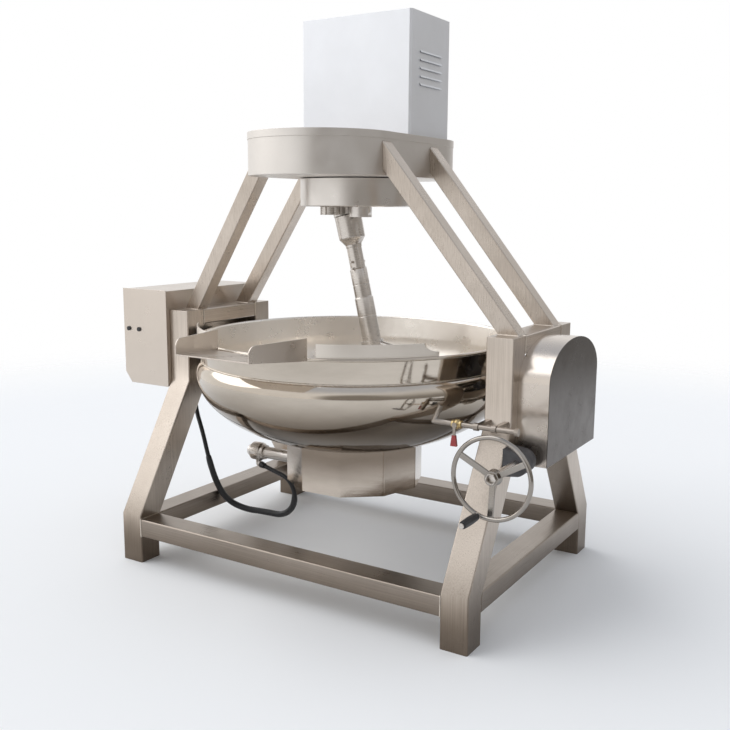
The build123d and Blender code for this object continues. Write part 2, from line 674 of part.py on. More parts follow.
def leg_outline(wall):
    """Side view of one front leg tube, drawn in by a wall thickness all round."""
    near, far = wall, TUBE - wall
    drop = tan(splay / 2)
    return [
        (-FOOT_Y + near, wall), (-FOOT_Y + near, FOOT_TOP - near * drop),
        (-POST_Y + near, POST_BOTTOM - near * drop), (-POST_Y + near, POST_TOP - wall),
        (-POST_Y + far, POST_TOP - wall), (-POST_Y + far, POST_BOTTOM - far * drop),
        (-FOOT_Y + far, FOOT_TOP - far * drop), (-FOOT_Y + far, wall),
    ]


for side, end, name in (
    (-1, -1, "leg_front_left"), (1, -1, "leg_front_right"),
    (-1, 1, "leg_rear_left"), (1, 1, "leg_rear_right"),
):
    with BuildPart() as leg:
        start_x = LEFT_X if side < 0 else RIGHT_IN
        with BuildSketch(SIDE.offset(start_x)):
            Polygon(*[(-end * y, z) for y, z in leg_outline(0)], align=None)
        extrude(amount=TUBE)
        along = leg.edges().filter_by(Axis.X, reverse=True)
        fillet(along.filter_by(lambda edge: 1 < edge.center().Z < POST_TOP - 1), TUBE_CORNER)
        with BuildSketch(SIDE.offset(start_x + TUBE_WALL)):
            Polygon(*[(-end * y, z) for y, z in leg_outline(TUBE_WALL)], align=None)
        extrude(amount=TUBE - 2 * TUBE_WALL, mode=Mode.SUBTRACT)
    save(leg, name)


def tube_section(width, height, wall, corner):
    """Draw a square tube's section with rounded outside corners in the open sketch."""
    RectangleRounded(width, height, corner)
    Rectangle(width - 2 * wall, height - 2 * wall, mode=Mode.SUBTRACT)


def beam(name, low, high, axis):
    """A level tube between two corner points, along X (axis 0) or along Y (axis 1)."""
    size = [b - a for a, b in zip(low, high)]
    middle = [(a + b) / 2 for a, b in zip(low, high)]
    middle[axis] = low[axis]
    direction = (1, 0, 0) if axis == 0 else (0, 1, 0)
    across = (0, 1, 0) if axis == 0 else (-1, 0, 0)
    with BuildPart() as piece:
        with BuildSketch(Plane(origin=tuple(middle), x_dir=across, z_dir=direction)):
            tube_section(size[1 - axis], size[2], RAIL_WALL, TUBE_CORNER)
        extrude(amount=size[axis])
    save(piece, name)


rail_top = RAIL_Z + RAIL_H
foot_in = FOOT_Y - TUBE
post_in = POST_Y - TUBE
beam("rail_front", (LEFT_IN, -FOOT_Y, RAIL_Z), (RIGHT_IN, -foot_in, rail_top), 0)
beam("rail_rear", (LEFT_IN, foot_in, RAIL_Z), (RIGHT_IN, FOOT_Y, rail_top), 0)
for low_x, side_name in ((LEFT_X, "left"), (RIGHT_IN, "right")):
    with BuildPart() as side_rail:
        with BuildSketch(Plane.XZ.offset(-foot_in)):
            with Locations((low_x + TUBE / 2, RAIL_Z + RAIL_H / 2)):
                tube_section(TUBE, RAIL_H, RAIL_WALL, TUBE_CORNER)
        extrude(amount=2 * foot_in)
        # ends mitred to the splay of the legs
        with BuildSketch(SIDE.offset(low_x)):
            Polygon(*leg_outline(0), align=None)
            mirror(about=Plane.YZ)
        extrude(amount=TUBE, mode=Mode.SUBTRACT)
    save(side_rail, f"rail_{side_name}")
for low_x, side_name in ((LEFT_X, "left"), (RIGHT_IN, "right")):
    top_low = (low_x, -post_in, POST_TOP - BEAM_H)
    beam(f"beam_{side_name}", top_low, (low_x + TUBE, post_in, POST_TOP), 1)
    bearing_low = (low_x, -post_in, BEARING_BEAM_TOP - BEARING_BEAM_H)
    beam(
        f"bearing_beam_{side_name}", bearing_low,
        (low_x + TUBE, post_in, BEARING_BEAM_TOP), 1,
    )

with BuildPart() as pillow_blocks:
    foot_z = BEARING_BEAM_TOP + BLOCK_BASE
    bolt_y = (BLOCK_W + 2 * BLOCK_R) / 4
    for block_x in (left_block_x, right_block_x):
        with BuildSketch(SIDE.offset(block_x - BLOCK_L / 2)):
            with BuildLine():
                Polyline(
                    (-BLOCK_R, TILT_Z), (-BLOCK_R, foot_z), (-BLOCK_W / 2, foot_z),
                    (-BLOCK_W / 2, BEARING_BEAM_TOP), (BLOCK_W / 2, BEARING_BEAM_TOP),
                    (BLOCK_W / 2, foot_z), (BLOCK_R, foot_z), (BLOCK_R, TILT_Z),
                )
                CenterArc((0, TILT_Z), BLOCK_R, 0, 180)
            make_face()
            with Locations((0, TILT_Z)):
                Circle(SHAFT_R + RUN_GAP, mode=Mode.SUBTRACT)
        extrude(amount=BLOCK_L)
        with BuildSketch(Plane.XY.offset(foot_z)):
            with Locations((block_x, -bolt_y), (block_x, bolt_y)):
                Circle(BOLT_R / 2 + RUN_GAP)
        extrude(amount=-BLOCK_BASE, mode=Mode.SUBTRACT)
save(pillow_blocks, "pillow_blocks")

with BuildPart() as block_bolts:
    spots = [(x, y) for x in (left_block_x, right_block_x) for y in (-bolt_y, bolt_y)]
    with BuildSketch(Plane.XY.offset(foot_z)):
        with Locations(*spots):
            RegularPolygon(BOLT_R, 6)
    extrude(amount=BOLT_R * 0.8)
    with BuildSketch(Plane.XY.offset(foot_z)):
        with Locations(*spots):
            Circle(BOLT_R / 2)
    extrude(amount=-BLOCK_BASE)
save(block_bolts, "block_bolts")

# ---------------------------------------------------------------- mixer head
with BuildPart() as head_housing:
    with BuildSketch(Plane.XY.offset(HEAD_CASE_Z)):
        SlotCenterToCenter(2 * HEAD_CASE_REACH, 2 * HEAD_CASE_R, rotation=90)
    extrude(amount=HEAD_LID_Z - HEAD_CASE_Z)
    with BuildSketch(Plane.XY.offset(HEAD_CASE_Z + HEAD_CASE_WALL)):
        inner_r = HEAD_CASE_R - HEAD_CASE_WALL
        SlotCenterToCenter(2 * HEAD_CASE_REACH, 2 * inner_r, rotation=90)
    extrude(amount=HEAD_LID_Z - HEAD_CASE_Z, mode=Mode.SUBTRACT)
    with BuildSketch(Plane.XY.offset(HEAD_CASE_Z)):
        Circle(DRUM_SHAFT_R + 18)
    extrude(amount=60)
    with BuildSketch(Plane.XY.offset(HEAD_CASE_Z)):
        Circle(DRUM_SHAFT_R + RUN_GAP)
    extrude(amount=60, mode=Mode.SUBTRACT)
save(head_housing, "head_housing")

with BuildPart() as head_lid:
    with BuildSketch(Plane.XY.offset(HEAD_LID_Z)):
        SlotCenterToCenter(2 * HEAD_CASE_REACH, 2 * (HEAD_CASE_R + LID_LIP), rotation=90)
    extrude(amount=HEAD_LID_T)
save(head_lid, "head_lid")

cover_front = COVER_Y - COVER_D / 2
with BuildPart() as motor_cover:
    with Locations((0, COVER_Y, LID_TOP)):
        Box(COVER_W, COVER_D, COVER_H, align=(Align.CENTER, Align.CENTER, Align.MIN))
    front_corners = motor_cover.edges().filter_by(Axis.Z).group_by(Axis.Y)[0]
    chamfer(front_corners, COVER_EDGE)
    offset(amount=-COVER_WALL, openings=motor_cover.faces().sort_by(Axis.Z)[0])
    # pressed louvres in the right hand wall, open at the bottom
    louvre_y = COVER_Y - LOUVRE_L / 2
    for n in range(LOUVRES):
        top_z = LID_TOP + COVER_H - LOUVRE_TOP - n * LOUVRE_PITCH
        with BuildSketch(Plane.XZ.offset(-louvre_y)):
            with BuildLine():
                Polyline(
                    (COVER_W / 2 - 1, top_z), (COVER_W / 2, top_z),
                    (COVER_W / 2 + LOUVRE_DEPTH, top_z - 1.4 * LOUVRE_DEPTH),
                    (COVER_W / 2 + LOUVRE_DEPTH - 1.5, top_z - 1.4 * LOUVRE_DEPTH - 1),
                    (COVER_W / 2 - 1, top_z - 2.6), close=True,
                )
            make_face()
        extrude(amount=-LOUVRE_L)
        with Locations((COVER_W / 2, COVER_Y, top_z - 3.2)):
            Box(2 * COVER_WALL, LOUVRE_L - 4, LOUVRE_DEPTH, mode=Mode.SUBTRACT,
                align=(Align.MAX, Align.CENTER, Align.MAX))
save(motor_cover, "motor_cover")

with BuildPart() as gearmotor:
    with BuildSketch(Plane.XY.offset(LID_TOP)):
        with Locations((0, COVER_Y)):
            Rectangle(REDUCER, REDUCER)
            fillet(vertices(), 20)
    extrude(amount=REDUCER_H)
    with BuildSketch(Plane.XY.offset(LID_TOP + REDUCER_H)):
        with Locations((0, COVER_Y)):
            Circle(MOTOR_R - 12)
            with PolarLocations(MOTOR_R - 7, MOTOR_FINS):
                Rectangle(14, 5)
    extrude(amount=MOTOR_H)
save(gearmotor, "gearmotor")

# ---------------------------------------------------------------- gantry struts
for side in (-1, 1):
    foot_x = LEFT_X + STRUT_INSET if side < 0 else RIGHT_X - STRUT_INSET
    for foot_y, head_y, end_name in zip(
        (-STRUT_FOOT_Y, STRUT_FOOT_Y), STRUT_HEAD_Y, ("front", "rear"),
    ):
        foot = Vector(foot_x, foot_y, POST_TOP)
        head = Vector(side * HEAD_CASE_R, head_y, STRUT_HEAD_Z)
        run = (head - foot).normalized()
        STRUT_PLANE = Plane(origin=foot - run * STRUT, x_dir=Vector(0, 1, 0).cross(run), z_dir=run)
        with BuildPart() as strut:
            with BuildSketch(STRUT_PLANE):
                tube_section(STRUT, STRUT, STRUT_WALL, STRUT_CORNER)
            extrude(amount=(head - foot).length + 2 * STRUT)
            # feet cut level on the posts, heads cut to the case's curve
            split(bisect_by=Plane.XY.offset(POST_TOP), keep=Keep.TOP)
            with BuildSketch(Plane.XY.offset(POST_TOP)):
                SlotCenterToCenter(
                    2 * HEAD_CASE_REACH, 2 * (HEAD_CASE_R + FIT_GAP), rotation=90,
                )
            extrude(amount=2 * (STRUT_HEAD_Z - POST_TOP), mode=Mode.SUBTRACT)
        save(strut, f"strut_{end_name}_{'left' if side < 0 else 'right'}")

# ---------------------------------------------------------------- planet drum and arm
drum_top = HEAD_CASE_Z - DRUM_GAP
drum_bottom = drum_top - DRUM_H
tilt = radians(ARM_TILT)
ARM = Plane(
    origin=(0, 0, ARM_CROSS_Z), x_dir=(cos(tilt), 0, sin(tilt)), z_dir=(-sin(tilt), 0, cos(tilt))
)
ARM_SECTION = Plane(origin=ARM.origin, x_dir=ARM.x_dir, z_dir=(0, -1, 0))
ARM_AXIS = Axis(ARM.origin, ARM.z_dir)
boss_low = SOCKET_TOP - 18
with BuildPart() as rotary_drum:
    with BuildSketch(Plane.XY.offset(drum_bottom)):
        Circle(DRUM_R)
    extrude(amount=DRUM_H)
    chamfer(rotary_drum.edges().group_by(Axis.Z)[0], 3)
    with BuildSketch(Plane.XY.offset(drum_top)):
        Circle(DRUM_SHAFT_R)
    extrude(amount=HEAD_LID_Z - 8 - drum_top)
    # plain boss beside the arm
    with BuildSketch(Plane.XY.offset(drum_bottom)):
        with Locations((BOSS_X, BOSS_Y)):
            Circle(BOSS_R)
    extrude(amount=-BOSS_H)
    # slanting boss that carries the arm's spindle in a blind bore
    with BuildSketch(ARM_SECTION) as boss_profile:
        Polygon(
            (0, boss_low), (SPINDLE_BOSS_R, boss_low), (SPINDLE_BOSS_R, boss_low + DRUM_H),
            (0, boss_low + DRUM_H), align=None,
        )
    revolve(boss_profile.sketch, axis=ARM_AXIS)
    with BuildSketch(ARM_SECTION) as spindle_bore:
        Polygon(
            (0, boss_low - 1), (SPINDLE_R + RUN_GAP, boss_low - 1),
            (SPINDLE_R + RUN_GAP, boss_low + SPINDLE_L + 4), (0, boss_low + SPINDLE_L + 4),
            align=None,
        )
    revolve(spindle_bore.sketch, axis=ARM_AXIS, mode=Mode.SUBTRACT)
save(rotary_drum, "rotary_drum")


def arm_turned(points):
    """Turn a half profile, given as (radius, distance along the arm), about the arm's axis."""
    with BuildSketch(ARM_SECTION) as profile:
        Polygon(*points, align=None)
    revolve(profile.sketch, axis=ARM_AXIS)


with BuildPart() as lock_nut:
    with BuildSketch(Plane.XY.offset(drum_bottom)):
        with Locations((NUT_X, NUT_Y)):
            Circle(BOSS_R)
            with PolarLocations(BOSS_R, NUT_LOBES):
                Circle(6, mode=Mode.SUBTRACT)
    extrude(amount=-BOSS_H * 0.8)
save(lock_nut, "lock_nut")

neck = SOCKET_CONE
with BuildPart() as arm_socket:
    arm_turned([
        (0, boss_low + SPINDLE_L), (SPINDLE_R, boss_low + SPINDLE_L), (SPINDLE_R, boss_low - 2),
        (SOCKET_R + 2, boss_low - 2), (SOCKET_R, neck + 26), (SOCKET_R - 4, neck + 20),
        (SOCKET_NECK_R + 1, neck), (SOCKET_NECK_R + 1, neck - 10), (0, neck - 10),
    ])
save(arm_socket, "arm_socket")

# the scraper sweeps inside a ball centred on the trunnion line, so it clears the bowl at
# every tilt; its reach from the arm's axis follows from the ball and the axis's offset
ball_r = TILT_Z - (BOWL_Z - BOWL_DEPTH) - SCRAPER_GAP
axis_offset = (ARM_CROSS_Z - TILT_Z) * sin(tilt)
ball_s = -(ARM_CROSS_Z - TILT_Z) * cos(tilt)
arm_end = sqrt(ball_r**2 - (axis_offset + HUB_R) ** 2) - ball_s


def sweep_r(s, inset=0.0):
    """Reach of the scraper from the arm's axis at a distance s along it."""
    return sqrt((ball_r - inset) ** 2 - (s - ball_s) ** 2) - axis_offset


blade_levels = [-arm_end + BLADE_STEP * (n + 0.3) for n in range(5)]

low_collar = -56.0
with BuildPart() as arm_tube:
    arm_turned([
        (0, neck - 10), (SOCKET_NECK_R - 1, neck - 10), (SOCKET_NECK_R - 1, low_collar + 4),
        (SOCKET_NECK_R + 3, low_collar), (SOCKET_NECK_R + 3, 3 * low_collar + 4),
        (ARM_R, 3 * low_collar), (ARM_R, -arm_end + HUB_H), (0, -arm_end + HUB_H),
    ])
    for n, reach in ((0, -26), (1, -52)):
        with BuildSketch(ARM_SECTION.offset(-60)):
            with Locations((0, reach)):
                Circle(PIN_R + RUN_GAP)
        extrude(amount=120, mode=Mode.SUBTRACT)
save(arm_tube, "arm_tube")

with BuildPart() as lock_pins:
    for reach in (-26, -52):
        with BuildSketch(ARM_SECTION.offset(-SOCKET_NECK_R - PIN_REACH)):
            with Locations((0, reach)):
                Circle(PIN_R)
        extrude(amount=2 * (SOCKET_NECK_R + PIN_REACH))
        with BuildSketch(ARM_SECTION.offset(-SOCKET_NECK_R - PIN_REACH)):
            with Locations((0, reach)):
                RegularPolygon(PIN_R * 1.8, 6)
        extrude(amount=8)
save(lock_pins, "lock_pins")

with BuildPart() as scraper_frame:
    arm_turned([
        (0, -arm_end), (HUB_R - 8, -arm_end), (HUB_R, -arm_end + 8), (HUB_R, -arm_end + HUB_H),
        (0, -arm_end + HUB_H),
    ])
    for side in (-1, 1):
        bar_line = [(side * (HUB_R - 14), -arm_end + HUB_H / 2)]
        bar_line += [(side * sweep_r(s, BLADE_W + 4), s) for s in blade_levels[1:]]
        bar_line.append((side * (ARM_R - 6), blade_levels[-1] + TIE_RISE))
        corners = [ARM_SECTION.from_local_coords(point) for point in bar_line]
        for low, high in zip(corners, corners[1:]):
            run = Vector(*high) - Vector(*low)
            with BuildSketch(Plane(origin=low, z_dir=run)):
                Circle(SCRAPER_R)
            extrude(amount=run.length)
        with Locations(*corners[1:-1]):
            Sphere(SCRAPER_R)
    arm_turned([
        (ARM_R + 8, blade_levels[-1] + TIE_RISE - 16), (ARM_R + 8, blade_levels[-1] + TIE_RISE + 16),
        (ARM_R - 20, blade_levels[-1] + TIE_RISE + 16), (ARM_R - 20, blade_levels[-1] + TIE_RISE - 16),
    ])
    with BuildSketch(ARM_SECTION) as inside_tube:
        Polygon(
            (0, -arm_end + HUB_H), (ARM_R + RUN_GAP, -arm_end + HUB_H), (ARM_R + RUN_GAP, 0),
            (0, 0), align=None,
        )
    revolve(inside_tube.sketch, axis=ARM_AXIS, mode=Mode.SUBTRACT)
save(scraper_frame, "scraper_frame")

with BuildPart() as scraper_blades:
    for side in (-1, 1):
        tip_points = [(side * sweep_r(s), s) for s in blade_levels[1:]]
        root_points = [(side * sweep_r(s, BLADE_W), s) for s in blade_levels[1:]]
        with BuildSketch(ARM_SECTION.offset(SCRAPER_R + 0.2)):
            with BuildLine():
                rim_line = Spline(*tip_points)
                root_line = Spline(*[(x * 0.93, s) for x, s in root_points])
                Line(rim_line @ 0, root_line @ 0)
                Line(rim_line @ 1, root_line @ 1)
            make_face()
        extrude(amount=BLADE_T)
save(scraper_blades, "scraper_blades")

# ---------------------------------------------------------------- worm gear cover and bearings
with BuildPart() as gear_cover:
    for inset in (0.0, GEAR_COVER_T):
        half = GEAR_COVER_HALF - inset
        mode = Mode.SUBTRACT if inset else Mode.ADD
        with BuildSketch(SIDE.offset(RIGHT_X)):
            with Locations((GEAR_COVER_Y, TILT_Z)):
                Ellipse(half, GEAR_COVER_RISE - inset)
                Rectangle(2 * half, TILT_Z - GEAR_COVER_Z, align=(Align.CENTER, Align.MAX))
                if inset:
                    Rectangle(2 * half, TILT_Z - GEAR_COVER_Z + 9, align=(Align.CENTER, Align.MAX))
        extrude(amount=GEAR_COVER_W - inset, mode=mode)
    with BuildSketch(WORM_FRONT.offset(GEAR_COVER_HALF - GEAR_COVER_Y - 20)):
        Circle(WORM_SHAFT_R + 6)
    extrude(amount=40, mode=Mode.SUBTRACT)
save(gear_cover, "gear_cover")

rear_block_y = GEAR_COVER_Y + GEAR_COVER_HALF - 44
with BuildPart() as worm_bearings:
    for block_y, length in ((FRONT_BEARING_Y, FRONT_BEARING_L), (rear_block_y, REAR_BEARING_L)):
        with BuildSketch(WORM_FRONT.offset(-block_y - length / 2)):
            with BuildLine():
                seat = RIGHT_X - WORM_X
                Polyline(
                    (0, -BEARING_R), (seat, -BEARING_R - 6), (seat, BEARING_R + 6), (0, BEARING_R),
                )
                ThreePointArc((0, BEARING_R), (BEARING_R, 0), (0, -BEARING_R))
            make_face()
            Circle(WORM_SHAFT_R + RUN_GAP, mode=Mode.SUBTRACT)
        extrude(amount=length)
save(worm_bearings, "worm_bearings")

# ---------------------------------------------------------------- inlet pipe and ball valve
pipe_low, pipe_high = PIPE_X
with BuildPart() as inlet_pipe:
    riser = Vector(0.35, 0.25, 1).normalized() * PIPE_RISER
    with BuildSketch(SIDE.offset(pipe_low)):
        with Locations((-PIPE_Y, PIPE_Z)):
            Circle(PIPE_R)
    extrude(amount=pipe_high - pipe_low)
    corner = Vector(pipe_low, -PIPE_Y, PIPE_Z)
    with Locations(corner):
        Sphere(PIPE_R)
    with BuildSketch(Plane(origin=corner, z_dir=riser.normalized())):
        Circle(PIPE_R)
    extrude(amount=PIPE_RISER)
    with BuildSketch(SIDE.offset(pipe_high - 10)):
        with Locations((-PIPE_Y, PIPE_Z)):
            RegularPolygon(PIPE_R + 4, 8)
    extrude(amount=12)
    with BuildSketch(SIDE.offset(VALVE_X - VALVE_R)):
        with Locations((-PIPE_Y, PIPE_Z)):
            Circle(PIPE_R + 1)
    extrude(amount=2 * VALVE_R, mode=Mode.SUBTRACT)
save(inlet_pipe, "inlet_pipe")

with BuildPart() as valve_body:
    with BuildSketch(Plane.XZ.offset(PIPE_Y)):
        with BuildLine():
            end, nut = PIPE_R + 4, VALVE_R - 7
            Polyline(
                (VALVE_X - nut, PIPE_Z + end), (VALVE_X - VALVE_R, PIPE_Z + end),
                (VALVE_X - VALVE_R, PIPE_Z), (VALVE_X + VALVE_R, PIPE_Z),
                (VALVE_X + VALVE_R, PIPE_Z + end), (VALVE_X + nut, PIPE_Z + end),
            )
            ThreePointArc(
                (VALVE_X + nut, PIPE_Z + end), (VALVE_X, PIPE_Z + VALVE_R),
                (VALVE_X - nut, PIPE_Z + end),
            )
        make_face()
    revolve(axis=Axis((VALVE_X, -PIPE_Y, PIPE_Z), (1, 0, 0)))
    with BuildSketch(Plane.XZ.offset(PIPE_Y)):
        with Locations((VALVE_X, PIPE_Z)):
            Circle(7)
    extrude(amount=VALVE_R + 2)
save(valve_body, "valve_body")

lever_y = PIPE_Y + VALVE_R + 2.3
with BuildPart() as valve_lever:
    with BuildSketch(Plane.XZ.offset(lever_y)):
        with Locations((VALVE_X, PIPE_Z)):
            Circle(9)
            Rectangle(9, LEVER_L, align=(Align.CENTER, Align.MAX))
    extrude(amount=LEVER_T)
save(valve_lever, "valve_lever")

with BuildPart() as lever_sleeve:
    with BuildSketch(Plane.XY.offset(PIPE_Z - LEVER_L - 3)):
        with Locations((VALVE_X, -lever_y - LEVER_T / 2)):
            Rectangle(22, LEVER_T + 7)
    with BuildSketch(Plane.XY.offset(PIPE_Z - LEVER_L / 2)):
        with Locations((VALVE_X, -lever_y - LEVER_T / 2)):
            Rectangle(13, LEVER_T + 5)
    loft()
    with Locations((VALVE_X, -lever_y - LEVER_T / 2, PIPE_Z - LEVER_L)):
        Box(9 + 2 * RUN_GAP, LEVER_T + 2 * RUN_GAP, LEVER_L,
            align=(Align.CENTER, Align.CENTER, Align.MIN), mode=Mode.SUBTRACT)
save(lever_sleeve, "lever_sleeve")

with BuildPart() as pipe_brackets:
    for x in (RIGHT_IN + 18, RIGHT_X - 18):
        with BuildSketch(SIDE.offset(x - 8)):
            with Locations((-PIPE_Y, PIPE_Z)):
                Circle(PIPE_R + 4)
            with Locations((-PIPE_Y, PIPE_Z)):
                Rectangle(PIPE_Y - POST_Y, 12, align=(Align.MIN, Align.CENTER))
            with Locations((-PIPE_Y, PIPE_Z)):
                Circle(PIPE_R + RUN_GAP, mode=Mode.SUBTRACT)
        extrude(amount=16)
save(pipe_brackets, "pipe_brackets")

# ---------------------------------------------------------------- control box
box_out = LEFT_X - BOX_W
with BuildPart() as control_box:
    with BuildSketch(Plane.XZ.offset(BOX_D / 2)):
        Polygon(
            (box_out, BOX_TOP), (LEFT_X, BOX_TOP), (LEFT_X, BOX_BOTTOM),
            (box_out + BOX_CHAMFER, BOX_BOTTOM), (box_out, BOX_BOTTOM + 1.3 * BOX_CHAMFER),
            align=None,
        )
    extrude(amount=-BOX_D)
    offset(amount=-BOX_WALL, openings=control_box.faces().sort_by(Axis.Y)[0])
    with BuildSketch(Plane.XY.offset(BOX_BOTTOM)):
        with Locations(box_entry[:2]):
            Circle(GLAND_R + 3)
    extrude(amount=-BOX_GLAND_L)
save(control_box, "control_box")

with BuildPart() as box_cover:
    with BuildSketch(Plane.XZ.offset(BOX_D / 2 + FIT_GAP)):
        Polygon(
            (box_out - 6, BOX_TOP + 3), (LEFT_X, BOX_TOP + 3), (LEFT_X, BOX_BOTTOM - 3),
            (box_out + BOX_CHAMFER - 4, BOX_BOTTOM - 3),
            (box_out - 6, BOX_BOTTOM + 1.3 * BOX_CHAMFER), align=None,
        )
    extrude(amount=BOX_WALL)
save(box_cover, "box_cover")

with BuildPart() as box_latches:
    latch_y = BOX_D / 2 + FIT_GAP + BOX_WALL
    for x in (box_out + 22, box_out + 80):
        with BuildSketch(Plane.XZ.offset(latch_y)):
            with Locations((x, BOX_TOP - 165)):
                Circle(9)
        extrude(amount=5)
save(box_latches, "box_latches")
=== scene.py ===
"""Surfaces, finishes, floor, light and camera for a tilting jacketed cooking kettle.

The file is laid out as an add-on and is run as a script.  Lengths are metres, in the model's own
frame: origin on the floor below the bowl, +X to the handwheel, -Y to the pouring side, +Z up.
"""
import json
from math import radians

import bmesh
import bpy
import numpy as np
from bpy.props import FloatProperty, FloatVectorProperty, IntProperty, PointerProperty
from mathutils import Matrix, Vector


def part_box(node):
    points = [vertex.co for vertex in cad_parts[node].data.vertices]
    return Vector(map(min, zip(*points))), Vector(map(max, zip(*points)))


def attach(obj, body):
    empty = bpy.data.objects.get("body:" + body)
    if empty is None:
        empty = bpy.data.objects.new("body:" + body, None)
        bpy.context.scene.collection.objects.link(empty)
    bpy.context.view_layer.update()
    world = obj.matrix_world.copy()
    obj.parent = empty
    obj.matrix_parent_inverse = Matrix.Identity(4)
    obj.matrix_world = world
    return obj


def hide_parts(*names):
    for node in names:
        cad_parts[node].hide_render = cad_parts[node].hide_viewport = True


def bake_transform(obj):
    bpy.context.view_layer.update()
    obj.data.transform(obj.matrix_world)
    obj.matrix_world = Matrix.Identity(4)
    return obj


bl_info = {
    "name": "Jacketed Kettle Dressing",
    "version": (1, 0, 0),
    "blender": (4, 5, 0),
    "location": "View3D > Sidebar > Kettle",
    "description": "Adds surfaces, finishes, a floor, a light and a camera to a cooking kettle",
    "category": "Object",
}

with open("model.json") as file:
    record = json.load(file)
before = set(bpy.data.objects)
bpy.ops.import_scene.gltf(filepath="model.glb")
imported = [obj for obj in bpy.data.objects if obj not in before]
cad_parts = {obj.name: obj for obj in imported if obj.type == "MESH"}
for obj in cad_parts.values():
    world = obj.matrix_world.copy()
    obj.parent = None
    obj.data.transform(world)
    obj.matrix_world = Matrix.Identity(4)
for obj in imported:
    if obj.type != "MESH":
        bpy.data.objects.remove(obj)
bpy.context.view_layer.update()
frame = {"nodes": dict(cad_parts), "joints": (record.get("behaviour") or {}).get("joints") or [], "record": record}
NODES = frame["nodes"]
JOINTS = {joint["name"]: joint for joint in frame["joints"]}
BODY_OF = {
    node: body
    for body, nodes in frame["record"]["behaviour"]["bodies"].items()
    for node in nodes
}


def low(node):
    """Lowest corner of a node's box as an array."""
    return np.array(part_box(node)[0], float)


def high(node):
    """Highest corner of a node's box as an array."""
    return np.array(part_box(node)[1], float)


# ------------------------------------------------------------------ fixed sizes
# merging and shading
MERGE_NEW = 0.00003  # points of a new surface nearer than this become one
MERGE_CAD = 0.00002  # the same for a copy of a node
FLAT_ANGLE = 0.004  # faces of a copy that turn by less are joined into one
SHARP_ANGLE = 0.55  # edges of a copy that turn by more stay sharp
ARM_SHARP_ANGLE = 0.6
POLE = 0.00001  # radius at a turned surface's axis, merged to one point afterwards

# jacket and bowl
JACKET_WALL = 0.004
JACKET_CROWN = 0.045  # height of the arc above the widest level
SEAT_GAP = 0.0003  # between the jacket's upper edge and the bowl
BOWL_WALL = 0.004
BOWL_FLARE = 0.016  # how far the upper wall leans out on its way to the rim
DISH_STEPS = 72
CROWN_STEPS = 20
WALL_STEPS = 12
ROLL_STEPS = 20
INSIDE_VIEWPOINT = 0.02  # height above the rim from which the bowl's inside faces are told apart
SEAM_RADIUS = 0.0032
SEAM_PITCH = 0.006
SEAM_OFFSET = 0.001
SEAM_STEPS = 721

# stirrer arm: (radius, distance up the arm from where it crosses the drum's axis)
ARM_STEPS = 96
SOCKET_PROFILE = [
    (POLE, 0.178), (0.0195, 0.178), (0.020, 0.1775), (0.020, 0.152), (0.051, 0.152),
    (0.052, 0.151), (0.0505, 0.070), (0.050, 0.066), (0.0485, 0.063), (0.046, 0.060),
    (0.0315, 0.0405), (0.031, 0.038), (0.031, 0.030), (POLE, 0.030),
]
TUBE_PROFILE = [
    (POLE, 0.030), (0.029, 0.030), (0.029, -0.052), (0.0325, -0.0555), (0.033, -0.0565),
    (0.033, -0.112), (0.0322, -0.113), (0.0322, -0.116), (0.033, -0.117), (0.033, -0.164),
    (0.0355, -0.1675), (0.036, -0.169), (0.036, -0.236), (0.0352, -0.237), (0.0352, -0.240),
    (0.036, -0.241), (0.036, -0.6004), (POLE, -0.6004),
]

# supply cable: control points of its line from the terminal head to the control box
CABLE_ROUTE = [
    (-0.4549, -0.0036, 0.2868), (-0.4003, -0.0092, 0.2756), (-0.322, -0.016, 0.259),
    (-0.284, -0.019, 0.207), (-0.288, -0.022, 0.141), (-0.342, -0.025, 0.094),
    (-0.436, -0.028, 0.094), (-0.536, -0.042, 0.092), (-0.606, -0.075, 0.128),
    (-0.622, -0.122, 0.210), (-0.642, -0.146, 0.320), (-0.672, -0.148, 0.440),
    (-0.742, -0.114, 0.530), (-0.748, -0.112, 0.628),
]
CABLE_SIDES = 20
CABLE_HELPER = (0, 1.0, 0.05)  # never in line with the cable
SLEEVE_START, SLEEVE_END = 0.205, 0.83  # distances along the cable from the terminal head
SLEEVE_TAPER = 0.03  # length over which each end swells to the full radius
SLEEVE_LEAST, SLEEVE_SWELL = 1.06, 0.40  # radius at its ends and the rise, in cable radii

# weld beads
BEAD_SIDES = 8
BEAD_STEPS = (8, 900)  # fewest and most steps along one bead
STEPS_PER_RIPPLE = 3
RIPPLE_DEPTH = 0.14  # share of the bead's radius
FOOT_DEPTH = 1e-4  # points this near a strut's lowest level belong to its foot

# painted shade: finishes that darken along one axis, standing for the dark reflections and shade of
# the workshop on the lower stand, the lower jacket, the heating chamber's upper part and the gear
# cover's outer plate; the share of the colour that is left where the shade is full, then where the
# shade starts and where it is full, as distances from the place named
STAND_SHADE, STAND_SHADE_FROM, STAND_SHADE_TO = (0.32, 0.29, 0.26), 0.32, 0.06  # floor
JACKET_SHADE, JACKET_SHADE_FROM, JACKET_SHADE_TO = (0.34, 0.31, 0.28), 0.015, 0.18  # its top
CHAMBER_SHADE, CHAMBER_SHADE_FROM, CHAMBER_SHADE_TO = (0.40, 0.37, 0.34), 0.018, 0.148  # its foot
PLATE_SHADE, PLATE_SHADE_FROM, PLATE_SHADE_TO = (0.15, 0.145, 0.145), 0.003, 0.001  # its face
PIPE_SHARE = 0.62  # colour of the pipe as a share of the stand's
ALONG, ACROSS = 3, 420  # scale of the scratches on the stand's tubes
LEFT_LEAN, RIGHT_LEAN = -0.61, 0.65  # turn of the scratches on the leaning struts

